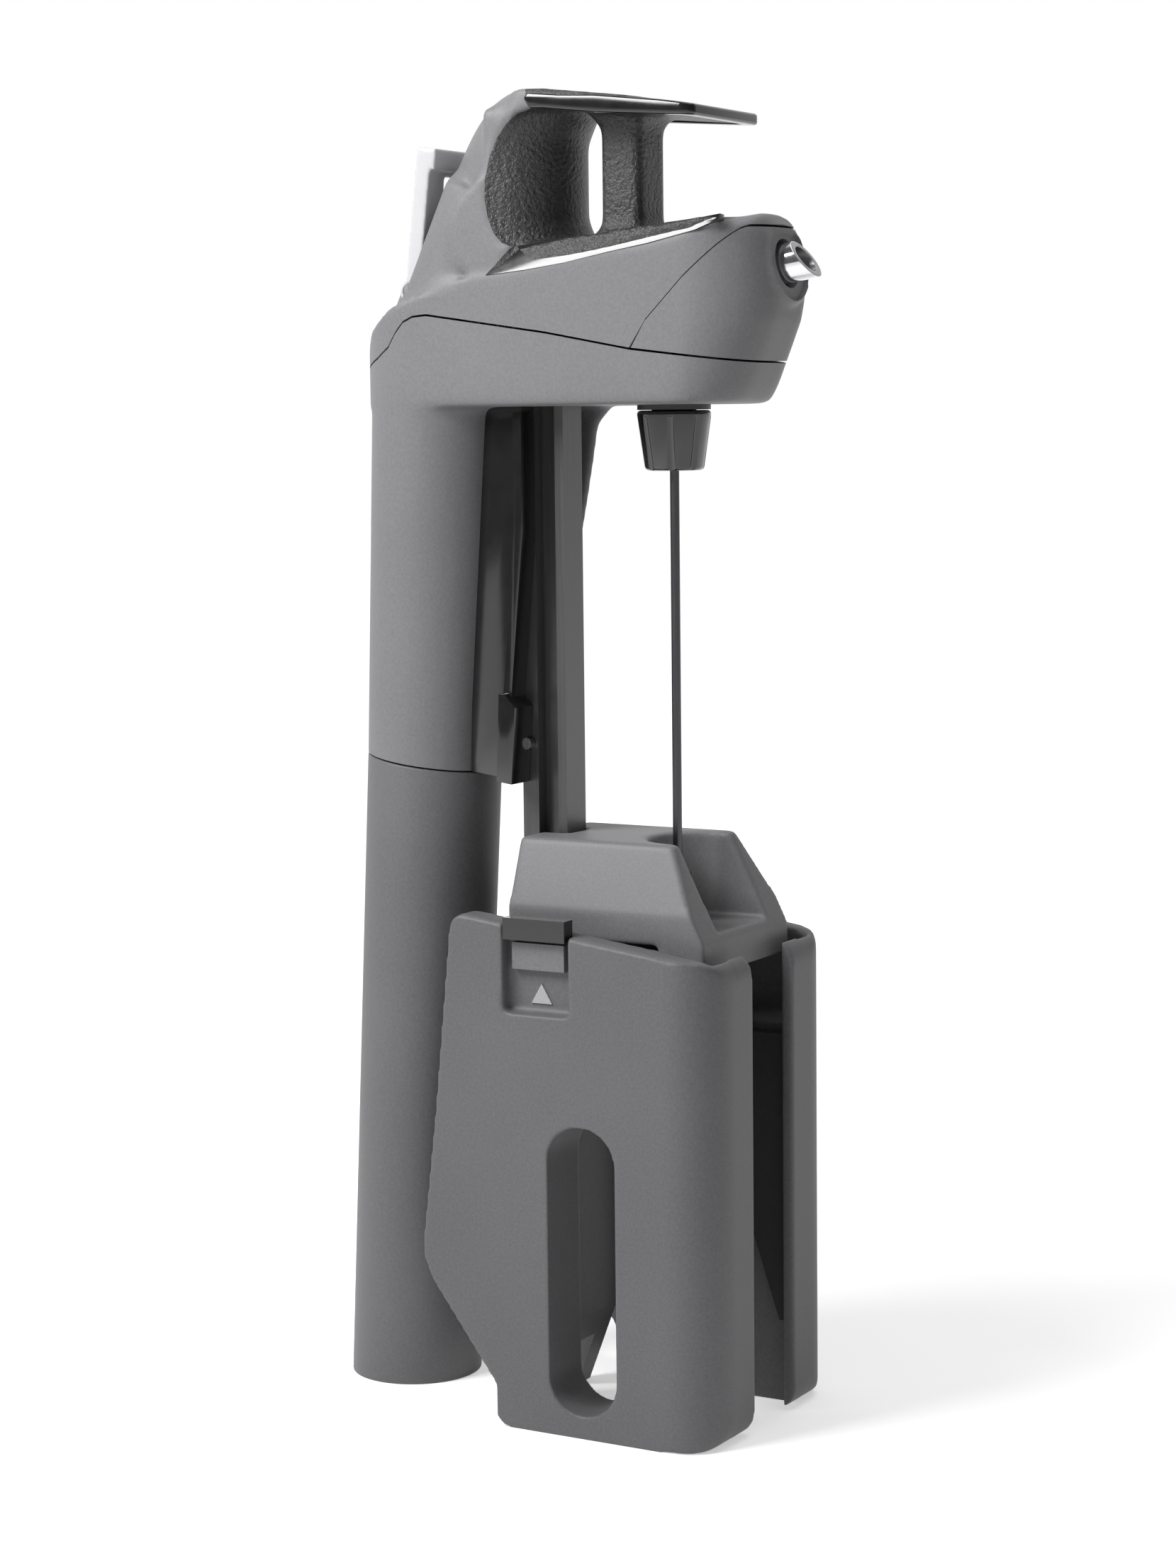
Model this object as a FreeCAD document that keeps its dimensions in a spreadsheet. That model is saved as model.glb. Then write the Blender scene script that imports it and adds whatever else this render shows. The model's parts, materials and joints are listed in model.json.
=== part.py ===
"""Needle wine access tool: a body that slides on a neck clamp, a gas capsule in the rear tube, a trigger.

Frame: +Z up, the spout points to -Y, the symmetry plane is X = 0, and the floor is Z = 0. Lengths are in mm
and angles in degrees. Every size is a cell of the sheet, and "behind" always means behind the needle's axis.
"""
import FreeCAD, Part
import math
import os
import Sketcher

doc = FreeCAD.newDocument("wine_access_tool")
sheet = doc.addObject("Spreadsheet::Sheet", "Sizes")
row_count = 0


class Size:
    """A number together with the expression that gives it, so that a property can be bound to it."""

    def __init__(self, number, text):
        self.number = float(number)
        self.text = text

    def __add__(self, other):
        other = as_size(other)
        return Size(self.number + other.number, f"({self.text} + {other.text})")

    def __sub__(self, other):
        other = as_size(other)
        return Size(self.number - other.number, f"({self.text} - {other.text})")

    def __mul__(self, other):
        other = as_size(other)
        return Size(self.number * other.number, f"({self.text} * {other.text})")

    def __truediv__(self, other):
        other = as_size(other)
        return Size(self.number / other.number, f"({self.text} / {other.text})")

    def __neg__(self):
        return Size(-self.number, f"(-1 * {self.text})")

    __radd__ = __add__
    __rmul__ = __mul__

    def __rsub__(self, other):
        return as_size(other) - self

    def __rtruediv__(self, other):
        return as_size(other) / self


def as_size(value):
    return value if isinstance(value, Size) else Size(value, f"{float(value):.6f}")


def distance(first, second):
    return Size(math.hypot(first.number, second.number), f"sqrt({first.text} ^ 2 + {second.text} ^ 2)")


def bearing(across, along):
    """The angle in degrees whose tangent is across / along."""
    number = math.degrees(math.atan2(across.number, along.number))
    return Size(number, f"atan2({across.text}; {along.text}) / 1 deg")


def sine(angle):
    return Size(math.sin(math.radians(angle.number)), f"sin({angle.text} * 1 deg)")


def cosine(angle):
    return Size(math.cos(math.radians(angle.number)), f"cos({angle.text} * 1 deg)")


def tangent(angle):
    return Size(math.tan(math.radians(angle.number)), f"tan({angle.text} * 1 deg)")


def cell(alias, number):
    """Store one driving size in the sheet and return it."""
    global row_count
    row_count += 1
    sheet.set(f"A{row_count}", alias)
    sheet.set(f"B{row_count}", str(number))
    sheet.setAlias(f"B{row_count}", alias)
    return Size(number, f"Sizes.{alias}")


# Overall places
needle_y = cell("needle_y", -18.4)
head_z = cell("head_z", 165.0)
head_half = cell("head_half", 12.3)
shell_wall = cell("shell_wall", 2.0)
face_gap = cell("face_gap", 0.3)
run_gap = cell("run_gap", 0.05)
seat_gap = cell("seat_gap", 0.1)

# Rear tube and cup, on an axis that leans forward going up
tube_tilt = cell("tube_tilt", 3.1)
tube_back = cell("tube_back", 43.2)
cup_low_radius = cell("cup_low_radius", 11.1)
seam_radius = cell("seam_radius", 11.3)
tube_top_radius = cell("tube_top_radius", 12.2)
tube_bore = cell("tube_bore", 9.7)
seam_height = cell("seam_height", 106.3)
seam_slope = cell("seam_slope", 7.9)
cup_floor = cell("cup_floor", 3.0)
capsule_radius = cell("capsule_radius", 9.0)
capsule_body = cell("capsule_body", 68.0)
capsule_length = cell("capsule_length", 92.0)
capsule_neck_radius = cell("capsule_neck_radius", 4.3)
capsule_pad_thick = cell("capsule_pad_thick", 2.0)
thread_radius = cell("thread_radius", 10.2)
thread_wall = cell("thread_wall", 0.9)
thread_low = cell("thread_low", 93.5)
thread_high = cell("thread_high", 118.0)
regulator_low = cell("regulator_low", 108.0)
regulator_high = cell("regulator_high", 148.0)
regulator_bore = cell("regulator_bore", 6.2)
piston_low = cell("piston_low", 119.0)
piston_thick = cell("piston_thick", 6.0)
cap_thick = cell("cap_thick", 4.0)
pin_radius = cell("pin_radius", 1.0)

# Rail: an H section with its web in the symmetry plane
rail_back = cell("rail_back", 18.9)
rail_half = cell("rail_half", 3.05)
rail_rear_half = cell("rail_rear_half", 3.3)
rail_front_thick = cell("rail_front_thick", 1.6)
rail_groove = cell("rail_groove", 3.6)
rail_rear_thick = cell("rail_rear_thick", 3.0)
rail_web_half = cell("rail_web_half", 0.9)
rail_low = cell("rail_low", 30.0)
rail_high = cell("rail_high", 172.0)
rail_pin_radius = cell("rail_pin_radius", 1.0)

# Channel on the front of the tube that holds the rail
channel_half = cell("channel_half", 7.8)
channel_neck = cell("channel_neck", 5.2)
lug_half = cell("lug_half", 9.1)
channel_groove = cell("channel_groove", 3.4)
lug_high = cell("lug_high", 118.4)
gusset_inner = cell("gusset_inner", 10.7)

# Handle
grip_back = cell("grip_back", 28.6)
grip_radius = cell("grip_radius", 11.6)
top_height = cell("top_height", 215.0)
pad_half = cell("pad_half", 12.0)
pad_front = cell("pad_front", 9.5)
liner_half = cell("liner_half", 11.9)
liner_floor = cell("liner_floor", 2.4)
roof_height = cell("roof_height", 211.7)
roof_bend = cell("roof_bend", 16.6)
floor_front = cell("floor_front", 14.5)
floor_front_height = cell("floor_front_height", 193.6)
floor_back_height = cell("floor_back_height", 186.3)
post_half = cell("post_half", 4.6)
post_front = cell("post_front", 3.4)
post_depth = cell("post_depth", 7.4)

# Nose and spout
spout_rise = cell("spout_rise", 10.0)
spout_end = cell("spout_end", 24.2)
spout_height = cell("spout_height", 187.3)
spout_radius = cell("spout_radius", 3.15)
spout_bore = cell("spout_bore", 2.1)
spout_length = cell("spout_length", 27.0)
spout_cut = cell("spout_cut", 28.0)
collar_gap = cell("collar_gap", 0.65)
collar_length = cell("collar_length", 3.0)
snout_face_radius = cell("snout_face_radius", 5.9)
snout_base_radius = cell("snout_base_radius", 8.2)
snout_length = cell("snout_length", 7.5)

# Needle, its nut and its hub
needle_radius = cell("needle_radius", 0.75)
needle_bore = cell("needle_bore", 0.45)
needle_low = cell("needle_low", 80.0)
ferrule_radius = cell("ferrule_radius", 2.4)
ferrule_low = cell("ferrule_low", 156.0)
nut_low = cell("nut_low", 154.5)
nut_high = cell("nut_high", 164.1)
nut_low_radius = cell("nut_low_radius", 4.7)
nut_high_radius = cell("nut_high_radius", 6.05)
flute_count = 8
hub_radius = cell("hub_radius", 5.9)
hub_stub_radius = cell("hub_stub_radius", 3.6)
hub_stub_low = cell("hub_stub_low", 157.5)
hub_neck_radius = cell("hub_neck_radius", 4.2)
passage_half = cell("passage_half", 5.0)
passage_front = cell("passage_front", 5.5)
passage_back = cell("passage_back", 6.5)
passage_high = cell("passage_high", 187.0)

# Clamp block, spine and guide shoes
block_top = cell("block_top", 95.5)
block_shoulder = cell("block_shoulder", 84.6)
block_low = cell("block_low", 66.0)
block_top_half = cell("block_top_half", 10.9)
block_half = cell("block_half", 15.0)
block_top_front = cell("block_top_front", 5.0)
block_front = cell("block_front", 12.4)
block_brow = cell("block_brow", 80.5)
block_chin = cell("block_chin", 75.6)
block_back = cell("block_back", 23.3)
mouth_half = cell("mouth_half", 8.5)
mouth_floor = cell("mouth_floor", 81.6)
mouth_centre = cell("mouth_centre", 4.4)
guide_radius = cell("guide_radius", 3.0)
guide_high = cell("guide_high", 89.5)
needle_way = cell("needle_way", 2.2)
clamp_groove = cell("clamp_groove", 3.6)
spine_half = cell("spine_half", 8.0)
spine_front = cell("spine_front", 16.8)
shoe_low = cell("shoe_low", 34.3)
shoe_high = cell("shoe_high", 88.0)
screw_radius = cell("screw_radius", 1.2)
screw_spread = cell("screw_spread", 5.8)

# Panels, their hinges, latches and pads
panel_half = cell("panel_half", 22.0)
panel_inner = cell("panel_inner", 11.5)
panel_skin_inner = cell("panel_skin_inner", 17.4)
panel_front = cell("panel_front", 17.2)
panel_lip = cell("panel_lip", 7.0)
panel_lip_thick = cell("panel_lip_thick", 2.1)
panel_corner = cell("panel_corner", 8.0)
panel_boss_back = cell("panel_boss_back", 16.0)
pocket_low = cell("pocket_low", 64.0)
slot_front = cell("slot_front", 0.2)
slot_width = cell("slot_width", 12.2)
slot_low = cell("slot_low", 3.8)
slot_high = cell("slot_high", 50.8)
recess_front = cell("recess_front", 8.2)
recess_width = cell("recess_width", 12.0)
recess_depth = cell("recess_depth", 2.4)
recess_low = cell("recess_low", 68.4)
hinge_half = cell("hinge_half", 14.0)
hinge_height = cell("hinge_height", 76.5)
hinge_pin_radius = cell("hinge_pin_radius", 1.2)
knuckle_radius = cell("knuckle_radius", 2.6)
knuckle_width = cell("knuckle_width", 6.0)
knuckle_front = cell("knuckle_front", 4.0)
knuckle_rear = cell("knuckle_rear", 10.0)
jaw_pad_thick = cell("jaw_pad_thick", 2.3)

# Trigger and valve
trigger_half = cell("trigger_half", 8.5)
trigger_thick = cell("trigger_thick", 2.8)
trigger_back = cell("trigger_back", 45.4)
trigger_pivot = cell("trigger_pivot", 184.0)
trigger_length = cell("trigger_length", 23.2)
trigger_lean = cell("trigger_lean", 7.0)
trigger_pin_radius = cell("trigger_pin_radius", 1.25)
trigger_window = cell("trigger_window", 3.5)
barrel_radius = cell("barrel_radius", 2.4)
trigger_swing_room = cell("trigger_swing_room", 3.4)
stem_radius = cell("stem_radius", 1.0)
valve_height = cell("valve_height", 190.0)
valve_radius = cell("valve_radius", 3.4)
valve_front = cell("valve_front", 29.6)
valve_back = cell("valve_back", 36.0)
pipe_radius = cell("pipe_radius", 1.1)

pieces = {}


def behind(distance):
    """The frame's y of a place that lies this far behind the needle's axis."""
    return needle_y + distance


def bind(thing, path, value):
    """Bind one property to a size, or set it when it is a plain number."""
    value = as_size(value)
    thing.setExpression(path, value.text)


def place(thing, at=(0, 0, 0), axis=(0, 0, 1), angle=0):
    """Put an object at a point, turned about an axis."""
    angle = as_size(angle)
    thing.Placement = FreeCAD.Placement(
        FreeCAD.Vector(*[as_size(value).number for value in at]),
        FreeCAD.Rotation(FreeCAD.Vector(*axis), angle.number),
    )
    for letter, value in zip("xyz", at):
        bind(thing, f".Placement.Base.{letter}", value)
    if angle.text != as_size(0).text:
        bind(thing, ".Placement.Rotation.Angle", angle)
    return thing


def cylinder(radius, height, at, axis=(0, 0, 1), angle=0):
    thing = doc.addObject("Part::Cylinder", "cylinder")
    bind(thing, "Radius", radius)
    bind(thing, "Height", height)
    return place(thing, at, axis, angle)


def cone(low_radius, high_radius, height, at, axis=(0, 0, 1), angle=0):
    thing = doc.addObject("Part::Cone", "cone")
    bind(thing, "Radius1", low_radius)
    bind(thing, "Radius2", high_radius)
    bind(thing, "Height", height)
    return place(thing, at, axis, angle)


def box(low, high):
    """A box from its lowest to its highest corner."""
    thing = doc.addObject("Part::Box", "box")
    for name, start, end in zip(("Length", "Width", "Height"), low, high):
        bind(thing, name, as_size(end) - start)
    return place(thing, low)


def cut(base, *tools):
    for tool in tools:
        thing = doc.addObject("Part::Cut", "cut")
        thing.Base = base
        thing.Tool = tool
        base = thing
    return base


def fuse(*things):
    if len(things) == 1:
        return things[0]
    thing = doc.addObject("Part::MultiFuse", "fuse")
    thing.Shapes = list(things)
    thing.Refine = True
    return thing


def common(first, second):
    thing = doc.addObject("Part::Common", "common")
    thing.Base = first
    thing.Tool = second
    return thing


def keep(label, thing):
    """Name one finished sub-part."""
    thing.Label = label
    pieces[label] = thing
    return thing


def origin_plane(body, role):
    return next(plane for plane in body.Origin.OriginFeatures if plane.Role == role)


def outline(sketch, corners):
    """A closed outline of straight lines whose corners are bound to sizes."""
    count = len(corners)
    points = [FreeCAD.Vector(as_size(u).number, as_size(v).number, 0) for u, v in corners]
    for index in range(count):
        sketch.addGeometry(Part.LineSegment(points[index], points[(index + 1) % count]), False)
    for index in range(count):
        sketch.addConstraint(Sketcher.Constraint("Coincident", index, 2, (index + 1) % count, 1))
    for index, (u, v) in enumerate(corners):
        for kind, value in (("DistanceX", as_size(u)), ("DistanceY", as_size(v))):
            number = sketch.addConstraint(Sketcher.Constraint(kind, -1, 1, index, 1, value.number))
            sketch.setExpression(f"Constraints[{number}]", value.text)


def slab(corners, low, high, plane="YZ_Plane", rounds=()):
    """A body padded from an outline: drawn on the YZ, XY or XZ plane and padded along X, Z or Y.

    low and high are the two ends along that direction. rounds lists (radius, corner, corner, ...),
    the corners whose edges along the pad get that radius.
    """
    low, high = as_size(low), as_size(high)
    body = doc.addObject("PartDesign::Body", "body")
    sketch = body.newObject("Sketcher::SketchObject", "outline")
    sketch.AttachmentSupport = (origin_plane(body, plane), [""])
    sketch.MapMode = "FlatFace"
    start = -high if plane == "XZ_Plane" else low
    sketch.setExpression(".AttachmentOffset.Base.z", start.text)
    outline(sketch, corners)
    pad = body.newObject("PartDesign::Pad", "pad")
    pad.Profile = sketch
    bind(pad, "Length", high - low)
    doc.recompute()
    base = pad
    along = {"YZ_Plane": 0, "XZ_Plane": 1, "XY_Plane": 2}[plane]
    for radius, *chosen in rounds:
        wanted = [(as_size(corners[n][0]).number, as_size(corners[n][1]).number) for n in chosen]
        names = []
        for number, edge in enumerate(base.Shape.Edges, 1):
            ends = [tuple(vertex.Point) for vertex in edge.Vertexes]
            if len(ends) != 2 or abs(ends[0][along] - ends[1][along]) < 1e-4:
                continue
            flats = [[end[k] for k in range(3) if k != along] for end in ends]
            if math.dist(flats[0], flats[1]) > 1e-4:
                continue
            if min(math.dist(flats[0], corner) for corner in wanted) < 1e-3:
                names.append(f"Edge{number}")
        fillet = body.newObject("PartDesign::Fillet", "round")
        fillet.Base = (base, names)
        bind(fillet, "Radius", radius)
        doc.recompute()
        base = fillet
    body.Tip = base
    return body


def turned(profile, at, axis=(1, 0, 0), angle=0):
    """A body of revolution about Z from an outline of (radius, height) points."""
    body = doc.addObject("PartDesign::Body", "turned")
    sketch = body.newObject("Sketcher::SketchObject", "half_section")
    sketch.AttachmentSupport = (origin_plane(body, "XZ_Plane"), [""])
    sketch.MapMode = "FlatFace"
    outline(sketch, profile)
    revolution = body.newObject("PartDesign::Revolution", "revolution")
    revolution.Profile = sketch
    revolution.ReferenceAxis = (sketch, ["V_Axis"])
    revolution.Angle = 360.0
    doc.recompute()
    return place(body, at, axis, angle)


def side(*corners):
    """Turn (behind the needle, height) corners into corners of an outline on the YZ plane."""
    return [(behind(back), height) for back, height in corners]


def tube_axis(height):
    """The point of the tube's axis at one height."""
    return (0, behind(tube_back + (head_z - height) * tangent(tube_tilt)), height)


def tube_cone(low_radius, high_radius, low, high):
    return cone(low_radius, high_radius, (as_size(high) - low) / cosine(tube_tilt), tube_axis(low),
                (1, 0, 0), tube_tilt)


def tube_cylinder(radius, low, high):
    return cylinder(radius, (as_size(high) - low) / cosine(tube_tilt), tube_axis(low), (1, 0, 0), tube_tilt)


def tube_turned(profile, height):
    return turned(profile, tube_axis(height), (1, 0, 0), tube_tilt)


def across_y(radius, x, z, front, back):
    """A cylinder along Y between two places behind the needle."""
    return cylinder(radius, as_size(back) - front, (x, behind(back), z), (1, 0, 0), 90)


def across_x(radius, back, z, half):
    """A cylinder along X, centred on the symmetry plane."""
    return cylinder(radius, half * 2, (-half, behind(back), z), (0, 1, 0), 90)


def pipe(radius, *points):
    """Straight runs in the symmetry plane with a round elbow piece at each bend; points are (behind, height)."""
    runs = []
    for start, end in zip(points, points[1:]):
        along, rise = as_size(start[0]) - end[0], as_size(end[1]) - start[1]
        runs.append(cylinder(radius, distance(along, rise), (0, behind(start[0]), start[1]),
                             (1, 0, 0), bearing(along, rise)))
    for back, height in points[1:-1]:
        runs.append(across_x(radius * 1.25, back, height, radius * 1.15))
    return fuse(*runs)


def coil(radius, wire, pitch, length, at, axis=(0, 0, 1), angle=0):
    """A coil spring swept along a helix."""
    path = doc.addObject("Part::Helix", "helix")
    bind(path, "Pitch", pitch)
    bind(path, "Height", length)
    bind(path, "Radius", radius)
    section = doc.addObject("Part::Circle", "section")
    bind(section, "Radius", wire)
    place(section, (radius, 0, 0), (1, 0, 0), 90)
    doc.recompute()
    sweep = doc.addObject("Part::Sweep", "spring")
    sweep.Sections = [section]
    sweep.Spine = (path, ["Edge1"])
    sweep.Solid = True
    sweep.Frenet = True
    doc.recompute()
    return place(sweep, at, axis, angle)


def seam_line(back, shift):
    """The height of the slanted seam between cup and tube at one place behind the needle."""
    centre = tube_back + (head_z - seam_height) * tangent(tube_tilt)
    return seam_height + (as_size(back) - centre) * tangent(seam_slope) + shift


# ---------------------------------------------------------------- body shell
def head_plan():
    """The head seen from above: a rounded bow at the front, the tube's circle at the back."""
    corners = [(-head_half, behind(-22.2)), (head_half, behind(-22.2)),
               (head_half, behind(55.4)), (-head_half, behind(55.4))]
    return slab(corners, 150, 200, "XY_Plane", rounds=[(10.5, 0, 1), (12.1, 2, 3)])


parting = [(56.0, 170.6), (46.6, 174.9), (43.9, 178.8), (40.3, 180.1), (16.7, 176.6), (1.3, 173.7)]
lower_profile = side((-14.9, head_z), (56.0, head_z), *parting, (-14.3, 171.8), (-18.6, 171.3))
lower_head = common(slab(lower_profile, -head_half, head_half), head_plan())
tube_skin = tube_cone(seam_radius, tube_top_radius, seam_height - 6, head_z + 2)
channel = fuse(
    slab(side((24.0, head_z + 1), (24.0, 145), (26.4, 119), (27.2, 98), (28.9, 98), (28.1, 119), (25.7, 145),
              (25.7, head_z + 1)), -channel_half, channel_half),
    slab(side((24.0, head_z + 1), (24.0, 145), (26.4, 119), (27.2, 98), (42.0, 98), (40.0, head_z + 1)),
         -channel_neck, channel_neck))
lugs = slab(side((24.7, 115.6), (26.0, 98), (28.8, 98), (27.9, lug_high), (27.2, lug_high)), -lug_half, lug_half)
gusset = slab(side((17.2, head_z + 0.5), (20.5, 162), (21.3, 157), (22.4, 151), (24.0, 143), (40.0, 143),
                   (40.0, head_z + 0.5)), gusset_inner, head_half)
below_seam = slab(side((10, seam_line(10, face_gap / 2)), (70, seam_line(70, face_gap / 2)), (70, 40), (10, 40)),
                  -20, 20)
rail_room = box((-channel_groove, behind(10), 90),
                (channel_groove, behind(rail_back + rail_front_thick + rail_groove + rail_rear_thick + seat_gap),
                 head_z))
rail_hole = box((-rail_rear_half - seat_gap, behind(rail_back - seat_gap), head_z - 1),
                (rail_rear_half + seat_gap,
                 behind(rail_back + rail_front_thick + rail_groove + rail_rear_thick + seat_gap), rail_high + 1))
head_room = box((-head_half + shell_wall, behind(-11.5), head_z + shell_wall),
                (head_half - shell_wall, behind(40), head_z + 20))
tube_room = tube_cylinder(tube_bore, 90, head_z + 16)
thread_room = tube_cylinder(thread_radius + seat_gap, 90, thread_high + seat_gap)
hub_hole = cylinder(hub_neck_radius + seat_gap, 6, (0, needle_y, head_z - 1))


def rail_pins(half, growth):
    """Two dowels that hold the rail's rear flange in its channel."""
    back = rail_back + rail_front_thick + rail_groove + rail_rear_thick / 2
    return [across_x(rail_pin_radius + growth, back, height, as_size(half)) for height in (110, 158)]


lower_shell = fuse(lower_head, tube_skin, channel, lugs, gusset)
keep("lower_housing", cut(lower_shell, below_seam, rail_room, rail_hole, head_room, tube_room, thread_room,
                          hub_hole, *rail_pins(5.0, run_gap)))


def floor_line(back, shift):
    """The height of the handle's floor, which rises toward the nose."""
    slope = (floor_front_height - floor_back_height) / (floor_front + 26)
    return floor_front_height - (as_size(back) + floor_front) * slope + shift


def liner_shapes():
    """The textured inner side of the handle: half a round grip, a floor, a roof and a post."""
    half_grip = common(cylinder(grip_radius, 27.6, (0, behind(grip_back), 184.5)),
                       box((-20, behind(10), 180), (20, behind(grip_back), 220)))
    floor = slab(side((-floor_front, floor_line(-floor_front, 0)), (26, floor_line(26, 0)),
                      (26, floor_line(26, -liner_floor)), (-floor_front, floor_line(-floor_front, -liner_floor))),
                 -liner_half, liner_half)
    rise = slab(side((-13.5, floor_line(-13.5, -1.0)), (-13.5, 193.8), (26.0, 190.2), (26.0, floor_line(26, -1.0))),
                -liner_half + 0.7, liner_half - 0.7)
    roof = slab(side((-pad_front + 0.8, 209.1), (roof_bend, roof_height), (grip_back, roof_height),
                     (grip_back, roof_height + 0.9), (roof_bend, roof_height + 0.9), (-pad_front + 0.8, 210.0)),
                -pad_half + 0.6, pad_half - 0.6)
    post = slab([(-post_half, behind(post_front)), (post_half, behind(post_front)),
                 (post_half, behind(post_front + post_depth)), (-post_half, behind(post_front + post_depth))],
                188.5, 211.2, "XY_Plane", rounds=[(1.2, 0, 1, 2, 3)])
    return fuse(half_grip, common(fuse(floor, rise), head_plan()), roof, post)


keep("handle_liner", liner_shapes())

upper_profile = side((56.0, 170.9), (46.6, 175.2), (43.9, 179.1), (40.3, 180.4), (16.7, 176.9), (2.0, 174.3),
                     (-1.2, 178.8), (-7.9, 184.8), (-13.6, 189.6), (-16.6, 192.0), (-20.4, 192.3), (-17.2, 195.4),
                     (-floor_front, floor_front_height - 0.3), (26.6, floor_back_height - 0.4),
                     (48.9, floor_back_height - 0.4), (50.9, 183.4), (54.3, 176.5), (55.4, 173.0))
upper_slab = common(slab(upper_profile, -head_half, head_half), head_plan())
leaning_neck = pipe(grip_radius, (43.8, 169.0), (27.2, 204.0))
upright_neck = cylinder(grip_radius, 22, (0, behind(grip_back), 190))
neck_limits = slab(side((56.0, 170.9), (46.6, 175.2), (43.9, 179.1), (40.3, 180.4), (16.7, 176.9), (20.0, 184.0),
                        (grip_back, 184.0), (grip_back, 212), (60, 212)), -13, 13)
neck = common(fuse(leaning_neck, upright_neck), neck_limits)
pad_profile = side((-pad_front, 209.2), (-pad_front, 211.5), (2.6, 213.1), (17.0, top_height - 0.1),
                   (27.0, top_height), (33.6, 212.8), (37.6, 207.6), (39.4, 203.6), (28.6, 203.6),
                   (28.6, roof_height + 0.1), (roof_bend, roof_height + 0.1))
pad_plan = slab([(-pad_half, behind(-pad_front)), (pad_half, behind(-pad_front)),
                 (pad_half, behind(grip_back + pad_half)), (-pad_half, behind(grip_back + pad_half))],
                195, 220, "XY_Plane", rounds=[(2.0, 0, 1), (11.8, 2, 3)])
top_pad = common(slab(pad_profile, -pad_half, pad_half), pad_plan)
upper_room = slab(side((-9.0, 169), (40, 169), (40, 177.0), (30, 180.6), (-3.0, 186.6), (-11.0, 180)),
                  -head_half + shell_wall, head_half - shell_wall)
trigger_foot = (0, behind(trigger_back - trigger_thick / 2), trigger_pivot)


def trigger_box(low, high):
    """A box in the trigger's own leaning frame, whose origin is the pivot."""
    lean, x, y, z = trigger_lean, as_size(low[0]), as_size(low[1]), as_size(low[2])
    corner = (x, trigger_foot[1] + y * cosine(lean) - z * sine(lean),
              trigger_foot[2] + y * sine(lean) + z * cosine(lean))
    thing = doc.addObject("Part::Box", "box")
    for name, start, end in zip(("Length", "Width", "Height"), low, high):
        bind(thing, name, as_size(end) - start)
    return place(thing, corner, (1, 0, 0), lean)


half_thick = trigger_thick / 2
trigger_room = trigger_box((-trigger_half - face_gap, -half_thick - trigger_swing_room, 3.2),
                           (trigger_half + face_gap, half_thick + face_gap, trigger_length + 3))
barrel_room = across_x(barrel_radius + face_gap, trigger_back - trigger_thick / 2, trigger_pivot,
                       trigger_half + face_gap)
stile_room = trigger_box((-trigger_half - face_gap, -half_thick - 1.0, 0),
                         (trigger_half + face_gap, half_thick + face_gap, 4))
pin_hole = across_x(trigger_pin_radius + run_gap, trigger_back - trigger_thick / 2, trigger_pivot, as_size(9.5))
valve_room = across_y(valve_radius + seat_gap, 0, valve_height, valve_front - seat_gap, trigger_back - 3)
feed_back, out_back = as_size(34.0), as_size(31.0)
pipe_rooms = [cylinder(pipe_radius + seat_gap, 14, (0, behind(back), 175)) for back in (feed_back, out_back)]


def along_spout(distance_back, radius_low, radius_high, length):
    """A cone on the spout's axis, starting this far behind its end and running out toward it."""
    start = (0, behind(-spout_end + distance_back * cosine(spout_rise)),
             spout_height - distance_back * sine(spout_rise))
    return cone(radius_low, radius_high, length, start, (1, 0, 0), 90 - spout_rise)


def passage_room():
    """The space kept free round the passage block under the handle's floor."""
    return box((-passage_half - face_gap, behind(-passage_front - face_gap), head_z + 1),
               (passage_half + face_gap, behind(passage_back + face_gap), passage_high + face_gap))


def spout_room():
    """The hole the spout leaves the head through."""
    return along_spout(as_size(24), spout_radius + collar_gap, spout_radius + collar_gap, 24)



keep("upper_housing", cut(fuse(upper_slab, neck, top_pad), liner_shapes(), upper_room, passage_room(),
                          spout_room(), trigger_room, barrel_room, stile_room, pin_hole, valve_room, *pipe_rooms))

nose_profile = side((1.5, 174.0), (-14.3, 172.1), (-18.9, 171.6), (-22.1, 182.7), (-21.6, 189.8), (-20.6, 191.9),
                    (-16.9, 191.6), (-13.9, 189.2), (-8.3, 184.4), (-1.6, 178.5))
nose_room = slab(side((0.5, 168), (-12, 168), (-16.6, 173.6), (-17.6, 184), (-16.5, 189.0), (-13.0, 186.2),
                      (-7.5, 181.6), (-1.2, 176.0)), -head_half + shell_wall, head_half - shell_wall)
snout_limits = slab(side((1.5, 174.0), (-14.3, 172.1), (-30, 172.1), (-30, 192.0), (-20.6, 191.9), (-16.9, 191.6),
                         (-13.9, 189.2), (-8.3, 184.4), (-1.6, 178.5)), -head_half, head_half)
snout = common(along_spout(as_size(10.8), snout_base_radius, snout_face_radius, snout_length), snout_limits)
nose_shell = cut(common(slab(nose_profile, -head_half, head_half), head_plan()), nose_room)
keep("nose_cover", cut(fuse(nose_shell, snout), spout_room(), passage_room()))


# ---------------------------------------------------------------- rail and what it carries
def rail_outline():
    """The H section, drawn on the XY plane."""
    fronts = [rail_back, rail_back + rail_front_thick, rail_back + rail_front_thick + rail_groove]
    rear = fronts[2] + rail_rear_thick
    right = [(rail_half, fronts[0]), (rail_half, fronts[1]), (rail_web_half, fronts[1]),
             (rail_web_half, fronts[2]), (rail_rear_half, fronts[2]), (rail_rear_half, rear)]
    return [(x, behind(back)) for x, back in right] + [(-x, behind(back)) for x, back in reversed(right)]


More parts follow.
